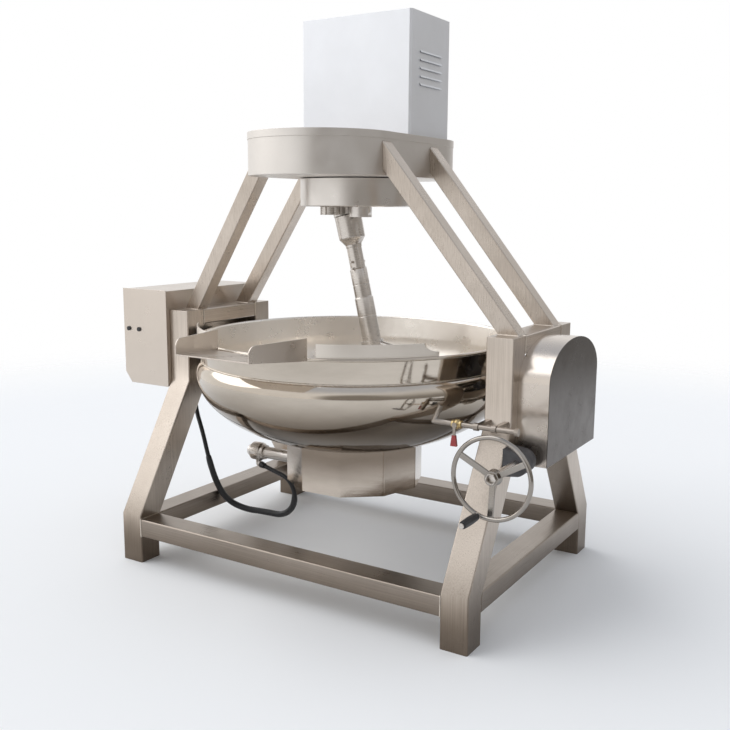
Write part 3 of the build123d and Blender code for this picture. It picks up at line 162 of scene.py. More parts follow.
# stage: directions, and the cosines between which a zone of the backdrop comes in
FLOOR_HALF = 60.0
FADE_START = 0.55  # share of the floor's reach at which it begins to fade
UP, DOWN = (0.0, 0.0, 1.0), (0.0, 0.0, -1.0)
HANDWHEEL_WAY = (0.966, 0.259, 0.0)
CAMERA_WAY = (0.54, -0.84, 0.0)
KEY_WAY = (-0.80, -0.26, 0.85)
CEILING_ZONE = (0.25, 0.85)
SHADED_ZONE = (0.10, 0.62)
NOT_ABOVE_ZONE = (-0.75, 0.05)
NEAR_ZONE = (0.84, 0.96)


# ------------------------------------------------------------------ sizes and colours to change
class KettleSizes(bpy.types.PropertyGroup):
    """Sizes of the pieces that are added to the kettle."""
    weld_radius: FloatProperty(
        name="Weld bead", description="Radius of the weld beads on the stand", default=0.003,
        subtype="DISTANCE", unit="LENGTH")
    ripple_pitch: FloatProperty(
        name="Weld ripple", description="Distance from one weld ripple to the next",
        default=0.0045, subtype="DISTANCE", unit="LENGTH")
    cable_diameter: FloatProperty(
        name="Cable", description="Outside diameter of the supply cable", default=0.018,
        subtype="DISTANCE", unit="LENGTH")
    turns: IntProperty(
        name="Steps round", description="Steps round the bowl and the jacket", default=192)


class KettleColours(bpy.types.PropertyGroup):
    """Base colours of the finishes."""
    stand: FloatVectorProperty(
        name="Stand steel", description="Brushed tubes of the stand", default=(0.66, 0.59, 0.525),
        subtype="COLOR")
    sheet: FloatVectorProperty(
        name="Sheet steel", description="Satin sheet of the head and turned steel",
        default=(0.74, 0.70, 0.66), subtype="COLOR")
    pale_sheet: FloatVectorProperty(
        name="Pale sheet", description="Fine satin sheet of the motor cover",
        default=(0.86, 0.87, 0.90), subtype="COLOR")
    mirror: FloatVectorProperty(
        name="Polished steel", description="Mirror polished jacket", default=(0.66, 0.60, 0.53),
        subtype="COLOR")
    bowl: FloatVectorProperty(
        name="Bowl steel", description="Inside of the bowl", default=(0.90, 0.84, 0.77),
        subtype="COLOR")
    cast: FloatVectorProperty(
        name="Cast iron", description="Bearing housings", default=(0.075, 0.075, 0.08),
        subtype="COLOR")
    black: FloatVectorProperty(
        name="Black plastic", description="Grip, gland, latches and cable",
        default=(0.02, 0.02, 0.022), subtype="COLOR")
    red: FloatVectorProperty(
        name="Red sleeve", description="Vinyl sleeve of the valve lever", default=(0.32, 0.02, 0.02),
        subtype="COLOR")
    nylon: FloatVectorProperty(
        name="Blade", description="White scraper blades", default=(0.80, 0.80, 0.77),
        subtype="COLOR")
    brass: FloatVectorProperty(
        name="Brass", description="Valve body", default=(0.72, 0.55, 0.28), subtype="COLOR")
    paint: FloatVectorProperty(
        name="Motor paint", description="Painted gearmotor", default=(0.10, 0.14, 0.19),
        subtype="COLOR")
    chrome: FloatVectorProperty(
        name="Handwheel", description="Polished handwheel", default=(0.40, 0.375, 0.35),
        subtype="COLOR")


class KettleStage(bpy.types.PropertyGroup):
    """Floor, light and camera."""
    floor: FloatVectorProperty(
        name="Floor", description="Colour of the floor", default=(0.90, 0.90, 0.895),
        subtype="COLOR")
    floor_reach: FloatProperty(
        name="Floor reach", description="Distance at which the floor has faded into the backdrop",
        default=6.0, subtype="DISTANCE", unit="LENGTH")
    ceiling: FloatVectorProperty(
        name="Ceiling", description="Light from straight above", default=(0.58, 0.62, 0.69),
        subtype="COLOR")
    shaded_side: FloatVectorProperty(
        name="Shaded side", description="Light from the handwheel side",
        default=(0.30, 0.285, 0.27), subtype="COLOR")
    near_side: FloatVectorProperty(
        name="Near side", description="Light from behind the camera", default=(0.30, 0.28, 0.26),
        subtype="COLOR")
    key: FloatProperty(
        name="Key light", description="Strength of the soft key light", default=1.5)
    key_softness: FloatProperty(
        name="Key softness", description="Width of the key light as seen from the kettle",
        default=1.2, subtype="ANGLE")
    eye: FloatVectorProperty(
        name="Camera place", description="Where the camera stands",
        default=(1.900798, -2.963737, 1.373563), subtype="TRANSLATION", unit="LENGTH")
    eye_turn: FloatVectorProperty(
        name="Camera turn", description="Tilt, roll and heading of the camera",
        default=(radians(80.28687), radians(-0.29767), radians(32.20295)), subtype="EULER",
        unit="ROTATION")
    lens: FloatProperty(
        name="Lens", description="Focal length of the camera", default=44.848,
        subtype="DISTANCE_CAMERA")
    shift: FloatVectorProperty(
        name="Lens shift", description="Sideways and upward shift of the frame", size=2,
        default=(0.0023, -0.0008))


# ------------------------------------------------------------------ surface finishes
class Surface:
    """A new material with its main shader, and short calls to add the nodes that feed it."""

    def __init__(self, name, colour, metallic, roughness):
        self.material = bpy.data.materials.new(name)
        self.material.use_nodes = True
        tree = self.material.node_tree
        self.nodes, self.links = tree.nodes, tree.links
        self.shader = tree.nodes["Principled BSDF"]
        self.colour = (*colour[:3], 1.0)
        self.shader.inputs["Base Color"].default_value = self.colour
        self.shader.inputs["Metallic"].default_value = metallic
        self.shader.inputs["Roughness"].default_value = roughness
        self.place = self.add("ShaderNodeTexCoord").outputs["Object"]
        self.normal = None

    def add(self, kind, **values):
        """A new node of a kind, with its settings."""
        node = self.nodes.new(kind)
        for key, value in values.items():
            setattr(node, key, value)
        return node

    def noise(self, scale, stretch=(1, 1, 1), turn=(0, 0, 0), detail=4.0, rough=0.5):
        """Noise in object space, stretched by axis, as a factor from 0 to 1."""
        mapping = self.add("ShaderNodeMapping")
        mapping.inputs["Scale"].default_value = stretch
        mapping.inputs["Rotation"].default_value = turn
        self.links.new(self.place, mapping.inputs["Vector"])
        node = self.add("ShaderNodeTexNoise")
        node.inputs["Scale"].default_value = scale
        node.inputs["Detail"].default_value = detail
        node.inputs["Roughness"].default_value = rough
        self.links.new(mapping.outputs["Vector"], node.inputs["Vector"])
        return node.outputs["Fac"]

    def spread(self, source, low_in, high_in, low_out, high_out, blend="LINEAR"):
        """Map a factor from one range to another, held at the ends."""
        node = self.add("ShaderNodeMapRange", interpolation_type=blend)
        for key, value in (("From Min", low_in), ("From Max", high_in),
                           ("To Min", low_out), ("To Max", high_out)):
            node.inputs[key].default_value = value
        self.links.new(source, node.inputs["Value"])
        return node.outputs["Result"]

    def across(self, axis, start, end):
        """A factor that goes smoothly from 0 to 1 between two places along an axis."""
        split = self.add("ShaderNodeSeparateXYZ")
        self.links.new(self.place, split.inputs["Vector"])
        return self.spread(split.outputs[axis], start, end, 0.0, 1.0, "SMOOTHSTEP")

    def tint(self, factor, dark, light):
        """Base colour between two shares of the main colour."""
        mix = self.add("ShaderNodeMix", data_type="RGBA")
        for socket, shares in (("A", dark), ("B", light)):
            share = [min(1.0, c * d) for c, d in zip(self.colour[:3], shares)]
            mix.inputs[socket].default_value = (*share, 1.0)
        self.links.new(factor, mix.inputs["Factor"])
        self.links.new(mix.outputs["Result"], self.shader.inputs["Base Color"])

    def darken(self, factor, shade):
        """Multiply the base colour by a shade where the factor is 1."""
        socket = self.shader.inputs["Base Color"]
        source = socket.links[0].from_socket
        mix = self.add("ShaderNodeMix", data_type="RGBA", blend_type="MULTIPLY")
        mix.inputs["B"].default_value = (*shade, 1.0)
        self.links.new(factor, mix.inputs["Factor"])
        self.links.new(source, mix.inputs["A"])
        self.links.new(mix.outputs["Result"], socket)

    def rough(self, factor, least, most):
        """Roughness that goes from least to most with the middle of a noise."""
        self.links.new(self.spread(factor, 0.3, 0.7, least, most), self.shader.inputs["Roughness"])

    def edge(self, radius):
        """Soften the shading of sharp edges, as a small real radius does."""
        node = self.add("ShaderNodeBevel", samples=4)
        node.inputs["Radius"].default_value = radius
        self.normal = node.outputs["Normal"]
        self.links.new(self.normal, self.shader.inputs["Normal"])

    def bump(self, factor, height, strength=1.0):
        """Raise the surface by up to a height with the factor, over what is there already."""
        node = self.add("ShaderNodeBump")
        node.inputs["Strength"].default_value = strength
        node.inputs["Distance"].default_value = height
        self.links.new(factor, node.inputs["Height"])
        if self.normal is not None:
            self.links.new(self.normal, node.inputs["Normal"])
        self.normal = node.outputs["Normal"]
        self.links.new(self.normal, self.shader.inputs["Normal"])


def brushed_steel(name, colour, roughness, stretch, turn=(0, 0, 0), edge=0.003, depth=0.00008,
                  painted_low_shade=False):
    """Brushed stainless: long fine scratches along one direction, cloudy wear, a soft edge, and painted shade
    towards the floor if asked.
    """
    s = Surface(name, colour, 1.0, roughness)
    cloud = s.noise(3.2, detail=6.0, rough=0.6)
    s.tint(cloud, (0.70, 0.68, 0.65), (1.14, 1.14, 1.14))
    grain = s.noise(1.0, stretch, turn, detail=5.0, rough=0.7)
    s.darken(s.spread(grain, 0.36, 0.60, 1.0, 0.0), (0.80, 0.79, 0.78))
    smudge = s.noise(9.0, detail=5.0, rough=0.65)
    average = s.add("ShaderNodeMath", operation="MULTIPLY_ADD")
    average.inputs[1].default_value = 0.5
    s.links.new(grain, average.inputs[0])
    s.links.new(s.spread(smudge, 0.0, 1.0, 0.0, 0.5), average.inputs[2])
    s.rough(average.outputs["Value"], roughness - 0.07, roughness + 0.10)
    if edge:
        s.edge(edge)
    s.bump(grain, depth)
    s.bump(s.noise(5.0, detail=2.0), 0.0008, 0.35)
    # painted shade: the colour grows darker towards the floor, standing for the dark floor's reflection and shade
    # on the tubes' lower ends
    if painted_low_shade:
        s.darken(s.across("Z", STAND_SHADE_FROM, STAND_SHADE_TO), STAND_SHADE)
    return s.material


def satin_sheet(name, colour, roughness, wave=0.0008, edge=0.002, metallic=1.0, dark=None):
    """Fine satin sheet: faint handling marks, slight hollows between the folds, and painted shade along one axis
    if asked.
    """
    s = Surface(name, colour, metallic, roughness)
    s.tint(s.noise(2.4, detail=5.0, rough=0.6), (0.86, 0.86, 0.85), (1.08, 1.08, 1.08))
    # painted shade: where dark is given, the colour is multiplied by a shade along one axis, standing for dark
    # reflections
    if dark:
        s.darken(s.across(*dark[0]), dark[1])
    s.rough(s.noise(14.0, detail=4.0, rough=0.6), roughness - 0.06, roughness + 0.08)
    if edge:
        s.edge(edge)
    s.bump(s.noise(420.0, (1, 1, 0.04), detail=1.0), 0.00001, 0.4)
    s.bump(s.noise(2.2, detail=1.0), wave * 3, 0.5)
    return s.material


def polished_steel(name, colour, roughness=0.07, dark=None):
    """Mirror polish on a spun dish: painted reflection in dark and light bands, rings of the polishing wheel, a
    slow unevenness, and painted shade along one axis if asked.
    """
    s = Surface(name, colour, 1.0, roughness)
    # painted reflection: dark and light bands in the colour, round the dish, stand for streaks of reflection in
    # the polish
    s.tint(s.noise(2.0, (1, 1, 3.5), detail=5.0, rough=0.6), (0.52, 0.49, 0.45), (1.2, 1.19, 1.17))
    # painted shade: where dark is given, the colour is multiplied by a shade along one axis, standing for dark
    # reflections
    if dark:
        s.darken(s.across(*dark[0]), dark[1])
    s.rough(s.noise(30.0, (1, 1, 6), detail=7.0, rough=0.7), roughness - 0.04, roughness + 0.08)
    s.bump(s.noise(1.0, (3, 3, 260), detail=3.0), 0.00003)
    s.bump(s.noise(3.0, (1, 1, 2.2), detail=2.5), 0.004, 0.5)
    return s.material


def cast_metal(name, colour, roughness=0.55):
    """Painted casting: pebbled skin and a patchy tone."""
    s = Surface(name, colour, 0.35, roughness)
    s.tint(s.noise(26.0, detail=8.0, rough=0.6), (0.7, 0.7, 0.7), (1.5, 1.45, 1.4))
    s.rough(s.noise(60.0, detail=6.0), roughness - 0.1, roughness + 0.15)
    s.edge(0.003)
    s.bump(s.noise(240.0, detail=6.0, rough=0.6), 0.0006, 0.6)
    return s.material


def moulded(name, colour, roughness, grain=900.0, coat=0.0):
    """Moulded plastic, rubber or paint: fine grain, faint scuffs, and a clear coat if asked."""
    s = Surface(name, colour, 0.0, roughness)
    s.tint(s.noise(40.0, detail=6.0), (0.82, 0.82, 0.82), (1.25, 1.25, 1.25))
    s.rough(s.noise(22.0, detail=7.0), roughness - 0.06, roughness + 0.10)
    s.edge(0.001)
    s.bump(s.noise(grain, detail=3.0), 0.00012, 0.5)
    if coat:
        s.shader.inputs["Coat Weight"].default_value = coat
    return s.material


def weld_metal(name, colour):
    """Weld bead: bright and dull patches of heat on a rough, pitted skin."""
    s = Surface(name, colour, 1.0, 0.34)
    s.tint(s.noise(70.0, detail=6.0, rough=0.65), (0.55, 0.52, 0.5), (1.2, 1.15, 1.05))
    s.rough(s.noise(120.0, detail=5.0), 0.25, 0.5)
    s.bump(s.noise(300.0, detail=4.0), 0.0003, 0.6)
    return s.material


MADE = {}


def finish(name):
    """The finish of that name, made once from the colours in the panel."""
    if name in MADE:
        return MADE[name]
    c = bpy.context.scene.kettle_colours
    # painted shade: masks that darken the gear cover's outer plate, the lower jacket and the chamber's upper part,
    # standing for dark reflections
    plate, top, bottom = high("gear_cover")[0], high("jacket")[2], low("collar")[2]
    plate_painted_shade = (("X", plate - PLATE_SHADE_FROM, plate - PLATE_SHADE_TO), PLATE_SHADE)
    jacket_painted_shade = (("Z", top - JACKET_SHADE_FROM, top - JACKET_SHADE_TO), JACKET_SHADE)
    chamber_painted_shade = (("Z", bottom + CHAMBER_SHADE_FROM, bottom + CHAMBER_SHADE_TO), CHAMBER_SHADE)
    pipe = [PIPE_SHARE * v for v in c.stand]
    makers = {
        # the tube finishes carry painted shade towards the floor
        "tube_x": lambda: brushed_steel(name, c.stand, 0.30, (ALONG, ACROSS, ACROSS), painted_low_shade=True),
        "tube_y": lambda: brushed_steel(name, c.stand, 0.30, (ACROSS, ALONG, ACROSS), painted_low_shade=True),
        "tube_z": lambda: brushed_steel(name, c.stand, 0.30, (ACROSS, ACROSS, ALONG), painted_low_shade=True),
        "strut_left": lambda: brushed_steel(
            name, c.stand, 0.29, (ACROSS, ACROSS, ALONG), (0, LEFT_LEAN, 0)),
        "strut_right": lambda: brushed_steel(
            name, c.stand, 0.29, (ACROSS, ACROSS, ALONG), (0, RIGHT_LEAN, 0)),
        "sheet": lambda: satin_sheet(name, c.sheet, 0.32),
        "head_sheet": lambda: satin_sheet(name, c.sheet, 0.42),
        "box_sheet": lambda: satin_sheet(name, c.stand, 0.32),
        # the gear cover's outer plate carries painted shade
        "gear_sheet": lambda: satin_sheet(name, c.stand, 0.22, dark=plate_painted_shade),
        "pale_sheet": lambda: satin_sheet(name, c.pale_sheet, 0.42, metallic=0.6),
        # the jacket's mirror carries painted shade below its top
        "mirror": lambda: polished_steel(name, c.mirror, dark=jacket_painted_shade),
        # the collar carries painted shade towards its upper part, under the jacket
        "collar": lambda: polished_steel(name, c.stand, 0.11, dark=chamber_painted_shade),
        "bowl": lambda: satin_sheet(name, c.bowl, 0.30, 0.0003, edge=0),
        "rim_sheet": lambda: satin_sheet(name, c.bowl, 0.34, 0.0003, edge=0.001),
        "turned": lambda: brushed_steel(name, c.sheet, 0.28, (40, 40, 900), depth=0.00003),
        "pipe_steel": lambda: brushed_steel(name, pipe, 0.30, (60, 300, 300), edge=0),
        "chrome": lambda: polished_steel(name, c.chrome, 0.14),
        "cast": lambda: cast_metal(name, c.cast),
        "black": lambda: moulded(name, c.black, 0.42),
        "rubber": lambda: moulded(name, c.black, 0.55, 1400.0),
        "red": lambda: moulded(name, c.red, 0.28, 300.0, 0.4),
        "nylon": lambda: moulded(name, c.nylon, 0.45),
        "brass": lambda: brushed_steel(name, c.brass, 0.28, (200, 200, 200)),
        "paint": lambda: moulded(name, c.paint, 0.35, 180.0, 0.3),
        "weld": lambda: weld_metal(name, c.sheet),
    }
    MADE[name] = makers[name]()
    return MADE[name]


# ------------------------------------------------------------------ mesh tools
def put_in_scene(name, data):
    """A new object with the given data, linked to the scene."""
    thing = bpy.data.objects.new(name, data)
    bpy.context.scene.collection.objects.link(thing)
    return thing


def shade_smooth(mesh):
    """Shade every face of a mesh smooth."""
    mesh.polygons.foreach_set("use_smooth", np.ones(len(mesh.polygons), bool))


def surface_piece(name, points, faces, material):
    """A new piece of loose points and faces: poles and seams merged, faces turned outwards."""
    mesh = bpy.data.meshes.new(name)
    mesh.from_pydata(points.reshape(-1, 3).tolist(), [], faces)
    form = bmesh.new()
    form.from_mesh(mesh)
    bmesh.ops.remove_doubles(form, verts=form.verts, dist=MERGE_NEW)
    bmesh.ops.recalc_face_normals(form, faces=form.faces)
    form.to_mesh(mesh)
    form.free()
    shade_smooth(mesh)
    mesh.materials.append(finish(material))
    return put_in_scene(name, mesh)


def grid_faces(rows, cols, wrap_u=False, wrap_v=False, ends=False):
    """Faces over a grid of points (rows u, columns v).

    Each cell of the grid is one four sided face; a wrapped direction joins its last row to its
    first, and ends closes the first and last rows of a tube with one face each.
    """
    u = np.arange(rows if wrap_u else rows - 1)
    v = np.arange(cols if wrap_v else cols - 1)
    uu, vv = np.meshgrid(u, v, indexing="ij")
    up, vp = (uu + 1) % rows, (vv + 1) % cols
    quads = np.stack([uu * cols + vv, up * cols + vv, up * cols + vp, uu * cols + vp], -1)
    faces = quads.reshape(-1, 4).tolist()
    if ends:
        first = list(range(cols))
        faces.append(first)
        faces.append([(rows - 1) * cols + k for k in first[::-1]])
    return faces


def grid_piece(name, points, material, **closed):
    """A surface through a grid of points, closed as grid_faces says."""
    return surface_piece(name, points, grid_faces(*points.shape[:2], **closed), material)


def turned(profile, steps):
    """Points (angle, profile step) of a profile of (radius, height) turned about the Z axis.

    At the angle a each point stands at (r cos a, r sin a, height).
    """
    angle = np.linspace(0, 2 * np.pi, steps, endpoint=False)
    x = np.outer(np.cos(angle), profile[:, 0])
    y = np.outer(np.sin(angle), profile[:, 0])
    return np.stack([x, y, np.broadcast_to(profile[:, 1], x.shape)], -1)


def distance_along(line):
    """Distance of each point of a line from its start, along the line."""
    step = np.linalg.norm(np.diff(line, axis=0), axis=1)
    return np.concatenate([[0], np.cumsum(step)])


def circles_along(line, sides, helper=None):
    """Unit circles (point, angle) round a line, each square to the line there.

    With the tangent t and a helper direction h, one axis of the circle is t x h and the other is
    t x (t x h), and the circle is cos a of the first and sin a of the second. The helper is
    upright, or level where the line itself is upright.
    """
    tangent = np.gradient(line, axis=0)
    tangent /= np.linalg.norm(tangent, axis=1)[:, None]
    if helper is None:
        helper = np.where(np.abs(tangent[:, 2:3]) > 0.9, [[1.0, 0, 0]], [[0, 0, 1.0]])
    side = np.cross(tangent, helper)
    side /= np.linalg.norm(side, axis=1)[:, None]
    other = np.cross(tangent, side)
    turn = np.linspace(0, 2 * np.pi, sides, endpoint=False)[None, :, None]
    return np.cos(turn) * side[:, None] + np.sin(turn) * other[:, None]


def beads(name, paths, radius, pitch, body):
    """Weld beads: a tube along each path whose radius rises and falls once in each ripple pitch.

    With the ripple depth d, the radius at a distance s along the path is
    r (1 - d + d cos(2 pi s / pitch)).
    """
    points, faces, base = [], [], 0
    for path in paths:
        path = np.asarray(path, float)
        along = distance_along(path)
        steps = int(np.clip(along[-1] / (pitch / STEPS_PER_RIPPLE), *BEAD_STEPS))
        s = np.linspace(0, along[-1], steps)
        line = np.stack([np.interp(s, along, path[:, k]) for k in range(3)], -1)
        ripple = radius * (1 - RIPPLE_DEPTH + RIPPLE_DEPTH * np.cos(2 * np.pi * s / pitch))
        tube = line[:, None] + circles_along(line, BEAD_SIDES) * ripple[:, None, None]
        points.append(tube.reshape(-1, 3))
        for face in grid_faces(steps, BEAD_SIDES, wrap_v=True, ends=True):
            faces.append([base + corner for corner in face])
        base += steps * BEAD_SIDES
    piece = surface_piece(name, np.concatenate(points), faces, "weld")
    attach(piece, body)
    return piece


def dress(names, material):
    """Finish CAD nodes: a merged copy of each, smooth except where its faces meet sharply."""
    for node in names:
        mesh = NODES[node].data.copy()
        form = bmesh.new()
        form.from_mesh(mesh)
        bmesh.ops.remove_doubles(form, verts=form.verts, dist=MERGE_CAD)
        bmesh.ops.dissolve_limit(form, angle_limit=FLAT_ANGLE, verts=form.verts, edges=form.edges)
        form.to_mesh(mesh)
        form.free()
        shade_smooth(mesh)
        mesh.set_sharp_from_angle(angle=SHARP_ANGLE)
        mesh.materials.clear()
        mesh.materials.append(finish(material))
        piece = put_in_scene(node + "_skin", mesh)
        even = piece.modifiers.new("even_shading", "WEIGHTED_NORMAL")
        even.keep_sharp = True
        stand_for(piece, node, BODY_OF[node])


def stand_for(piece, node, body=None):
    """Let a piece take the place of a node, which is hidden, and ride on a body if one is given."""
    if body:
        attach(piece, body)
    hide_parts(node)


# ------------------------------------------------------------------ shapes of the kettle
QUARTER = np.linspace(0, np.pi / 2, DISH_STEPS)


def dish(radius, level, bottom):
    """Profile of half a dish: radius r sin t and height level - (level - bottom) cos t."""
    return np.stack([radius * np.sin(QUARTER), level - (level - bottom) * np.cos(QUARTER)], -1)


def jacket_profile(radius, bottom, top, seat):
    """Radius and height of the jacket's shell, up its outside and down its inside.

    The outside is a quarter of an ellipse from the lowest point to the widest level, then an arc
    of a circle that leans in to the seat at the top. The inside is both curves one wall further in.
    """
    widest = top - JACKET_CROWN
    inset = radius - seat
    arc = (inset ** 2 + JACKET_CROWN ** 2) / (2 * inset)
    a = np.linspace(0, np.arcsin(JACKET_CROWN / arc), CROWN_STEPS)[1:]

    def crown(size):
        return np.stack([radius - arc + size * np.cos(a), widest + size * np.sin(a)], -1)

    outside = np.concatenate([dish(radius, widest, bottom), crown(arc)])
    inside = np.concatenate([
        dish(radius - JACKET_WALL, widest, bottom + JACKET_WALL), crown(arc - JACKET_WALL)])
    profile = np.concatenate([outside, inside[::-1]])
    profile[0, 0] = profile[-1, 0] = POLE
    return profile


def bowl_profile(rim, rim_z, shoulder, deep):
    """Radius and height of the bowl, up its outside and down its inside.

    Below the shoulder both faces are a quarter of an ellipse; above it the wall leans out in a
    straight line to the rim. They are one wall apart.
    """
    inner = rim - BOWL_FLARE - BOWL_WALL
    s = np.linspace(0, 1, WALL_STEPS)[1:, None]
    climb = [BOWL_FLARE, rim_z - shoulder]
    inside = np.concatenate([dish(inner, shoulder, deep + BOWL_WALL), [inner, shoulder] + climb * s])
    outside = np.concatenate([
        dish(inner + BOWL_WALL, shoulder, deep)[:-1],
        [inner + BOWL_WALL, shoulder] + climb * (1 - s)[::-1],
        [[rim, rim_z]]])
    profile = np.concatenate([outside, inside[::-1]])
    profile[0, 0] = profile[-1, 0] = POLE
    return profile


# ------------------------------------------------------------------ operators
class KETTLE_OT_stand(bpy.types.Operator):
    """Brushed tubes of the stand, rails and gantry."""
    bl_idname = "kettle.stand"
    bl_label = "Stand tubes"

    def execute(self, context):
        dress(["rail_front", "rail_rear"], "tube_x")
        dress(["rail_left", "rail_right", "beam_left", "beam_right", "bearing_beam_left",
               "bearing_beam_right"], "tube_y")
        dress([f"leg_{end}_{side}" for end in ("front", "rear") for side in ("left", "right")],
              "tube_z")
        for side in ("left", "right"):
            dress([f"strut_front_{side}", f"strut_rear_{side}"], f"strut_{side}")
        return {"FINISHED"}


class KETTLE_OT_covers(bpy.types.Operator):
    """Sheet covers, mixer head, control box and gear cover."""
    bl_idname = "kettle.covers"
    bl_label = "Covers and head"

    def execute(self, context):
        dress(["head_housing", "head_lid"], "head_sheet")
        dress(["rotary_drum"], "sheet")
        dress(["gear_cover"], "gear_sheet")
        dress(["control_box", "box_cover"], "box_sheet")
        dress(["motor_cover"], "pale_sheet")
        dress(["box_latches"], "black")
        dress(["gearmotor"], "paint")
        return {"FINISHED"}


class KETTLE_OT_kettle(bpy.types.Operator):
    """Polished jacket, bowl, rim, spout and heating chamber."""
    bl_idname = "kettle.kettle"
    bl_label = "Kettle"

    def execute(self, context):
        steps = context.scene.kettle_sizes.turns
        dress(["rim_guard_left", "rim_guard_right"], "rim_sheet")
        dress(["spout"], "box_sheet")
        dress(["collar"], "collar")
        dress(["collar_plate", "heater_stub"], "sheet")
        dress(["terminal_head"], "turned")
        dress(["cable_gland"], "black")
        dress(["heating_element", "trunnion_left", "trunnion_right", "worm_wheel"], "turned")
        radius, _, top = high("jacket")
        rim, _, rim_z = high("inner_bowl")
        seat = rim - BOWL_FLARE + SEAT_GAP

        profile = jacket_profile(radius, low("jacket")[2], top, seat)
        jacket = grid_piece("jacket_skin", turned(profile, steps), "mirror", wrap_u=True)
        stand_for(jacket, "jacket", "kettle")

        profile = bowl_profile(rim, rim_z, top, low("inner_bowl")[2])
        bowl = grid_piece("bowl_skin", turned(profile, steps), "bowl", wrap_u=True)
        self.polish_outside(bowl.data, (0, 0, rim_z + INSIDE_VIEWPOINT))
        stand_for(bowl, "inner_bowl", "kettle")

        # rim bead: a circle of the bead's own size turned about the bowl's axis
        bead_r = 0.5 * (high("rim_bead")[2] - low("rim_bead")[2])
        middle = high("rim_bead")[[0, 2]] - bead_r
        a = np.linspace(0, 2 * np.pi, ROLL_STEPS, endpoint=False)
        bead = middle + bead_r * np.stack([np.cos(a), np.sin(a)], -1)
        roll = grid_piece("rim_roll", turned(bead, steps), "mirror", wrap_u=True, wrap_v=True)
        stand_for(roll, "rim_bead", "kettle")

        # seam where the jacket is welded to the bowl
        turn = np.linspace(0, 2 * np.pi, SEAM_STEPS)
        seam_r = seat + SEAM_OFFSET
        seam = np.stack([seam_r * np.cos(turn), seam_r * np.sin(turn),
                         np.full_like(turn, top + SEAM_OFFSET)], -1)
        beads("jacket_seam", [seam], SEAM_RADIUS, SEAM_PITCH, "kettle")
        return {"FINISHED"}

    def polish_outside(self, mesh, viewpoint):
        """Give the mirror finish to the faces that turn away from a point above the bowl."""
        mesh.materials.append(finish("mirror"))
        count = len(mesh.polygons)
        centre, normal = np.empty(count * 3), np.empty(count * 3)
        mesh.polygons.foreach_get("center", centre)
        mesh.polygons.foreach_get("normal", normal)
        away = ((centre.reshape(-1, 3) - viewpoint) * normal.reshape(-1, 3)).sum(1) > 0
        mesh.polygons.foreach_set("material_index", away.astype(np.int32))


class KETTLE_OT_gear(bpy.types.Operator):
    """Worm drive, bearings and handwheel."""
    bl_idname = "kettle.gear"
    bl_label = "Worm drive and handwheel"

    def execute(self, context):
        dress(["worm_shaft", "wheel_nut", "crank_pin", "block_bolts"], "turned")
        dress(["worm_bearings", "pillow_blocks"], "cast")
        dress(["handwheel"], "chrome")
        dress(["crank_grip"], "black")
        return {"FINISHED"}


class KETTLE_OT_stirrer(bpy.types.Operator):
    """Stirrer arm, its socket and pins, and the scraper."""
    bl_idname = "kettle.stirrer"
    bl_label = "Stirrer"

    def execute(self, context):
        dress(["lock_nut", "lock_pins", "scraper_frame"], "turned")
        # each profile is turned about the arm's own axis: crossing + d * axis + r * direction
        crossing = np.array(JOINTS["arm_spin"]["pos_m"])
        axis = np.array(JOINTS["arm_spin"]["axis"])
        flat = np.array([axis[2], 0, -axis[0]])
        turn = np.linspace(0, 2 * np.pi, ARM_STEPS, endpoint=False)[:, None, None]
        direction = np.cos(turn) * flat + np.sin(turn) * [0, 1.0, 0]
        for name, node, profile in (("socket_skin", "arm_socket", SOCKET_PROFILE),
                                    ("tube_skin", "arm_tube", TUBE_PROFILE)):
            r, d = np.array(profile[::-1]).T[:, :, None]
            piece = grid_piece(name, crossing + d * axis + r * direction, "turned", wrap_u=True)
            piece.data.set_sharp_from_angle(angle=ARM_SHARP_ANGLE)
            stand_for(piece, node, "arm")
        dress(["scraper_blades"], "nylon")
        return {"FINISHED"}


class KETTLE_OT_valve(bpy.types.Operator):
    """Inlet pipe, valve and lever."""
    bl_idname = "kettle.valve"
    bl_label = "Inlet pipe and valve"

    def execute(self, context):
        dress(["inlet_pipe", "valve_lever", "pipe_brackets"], "pipe_steel")
        dress(["valve_body"], "brass")
        dress(["lever_sleeve"], "red")
        return {"FINISHED"}


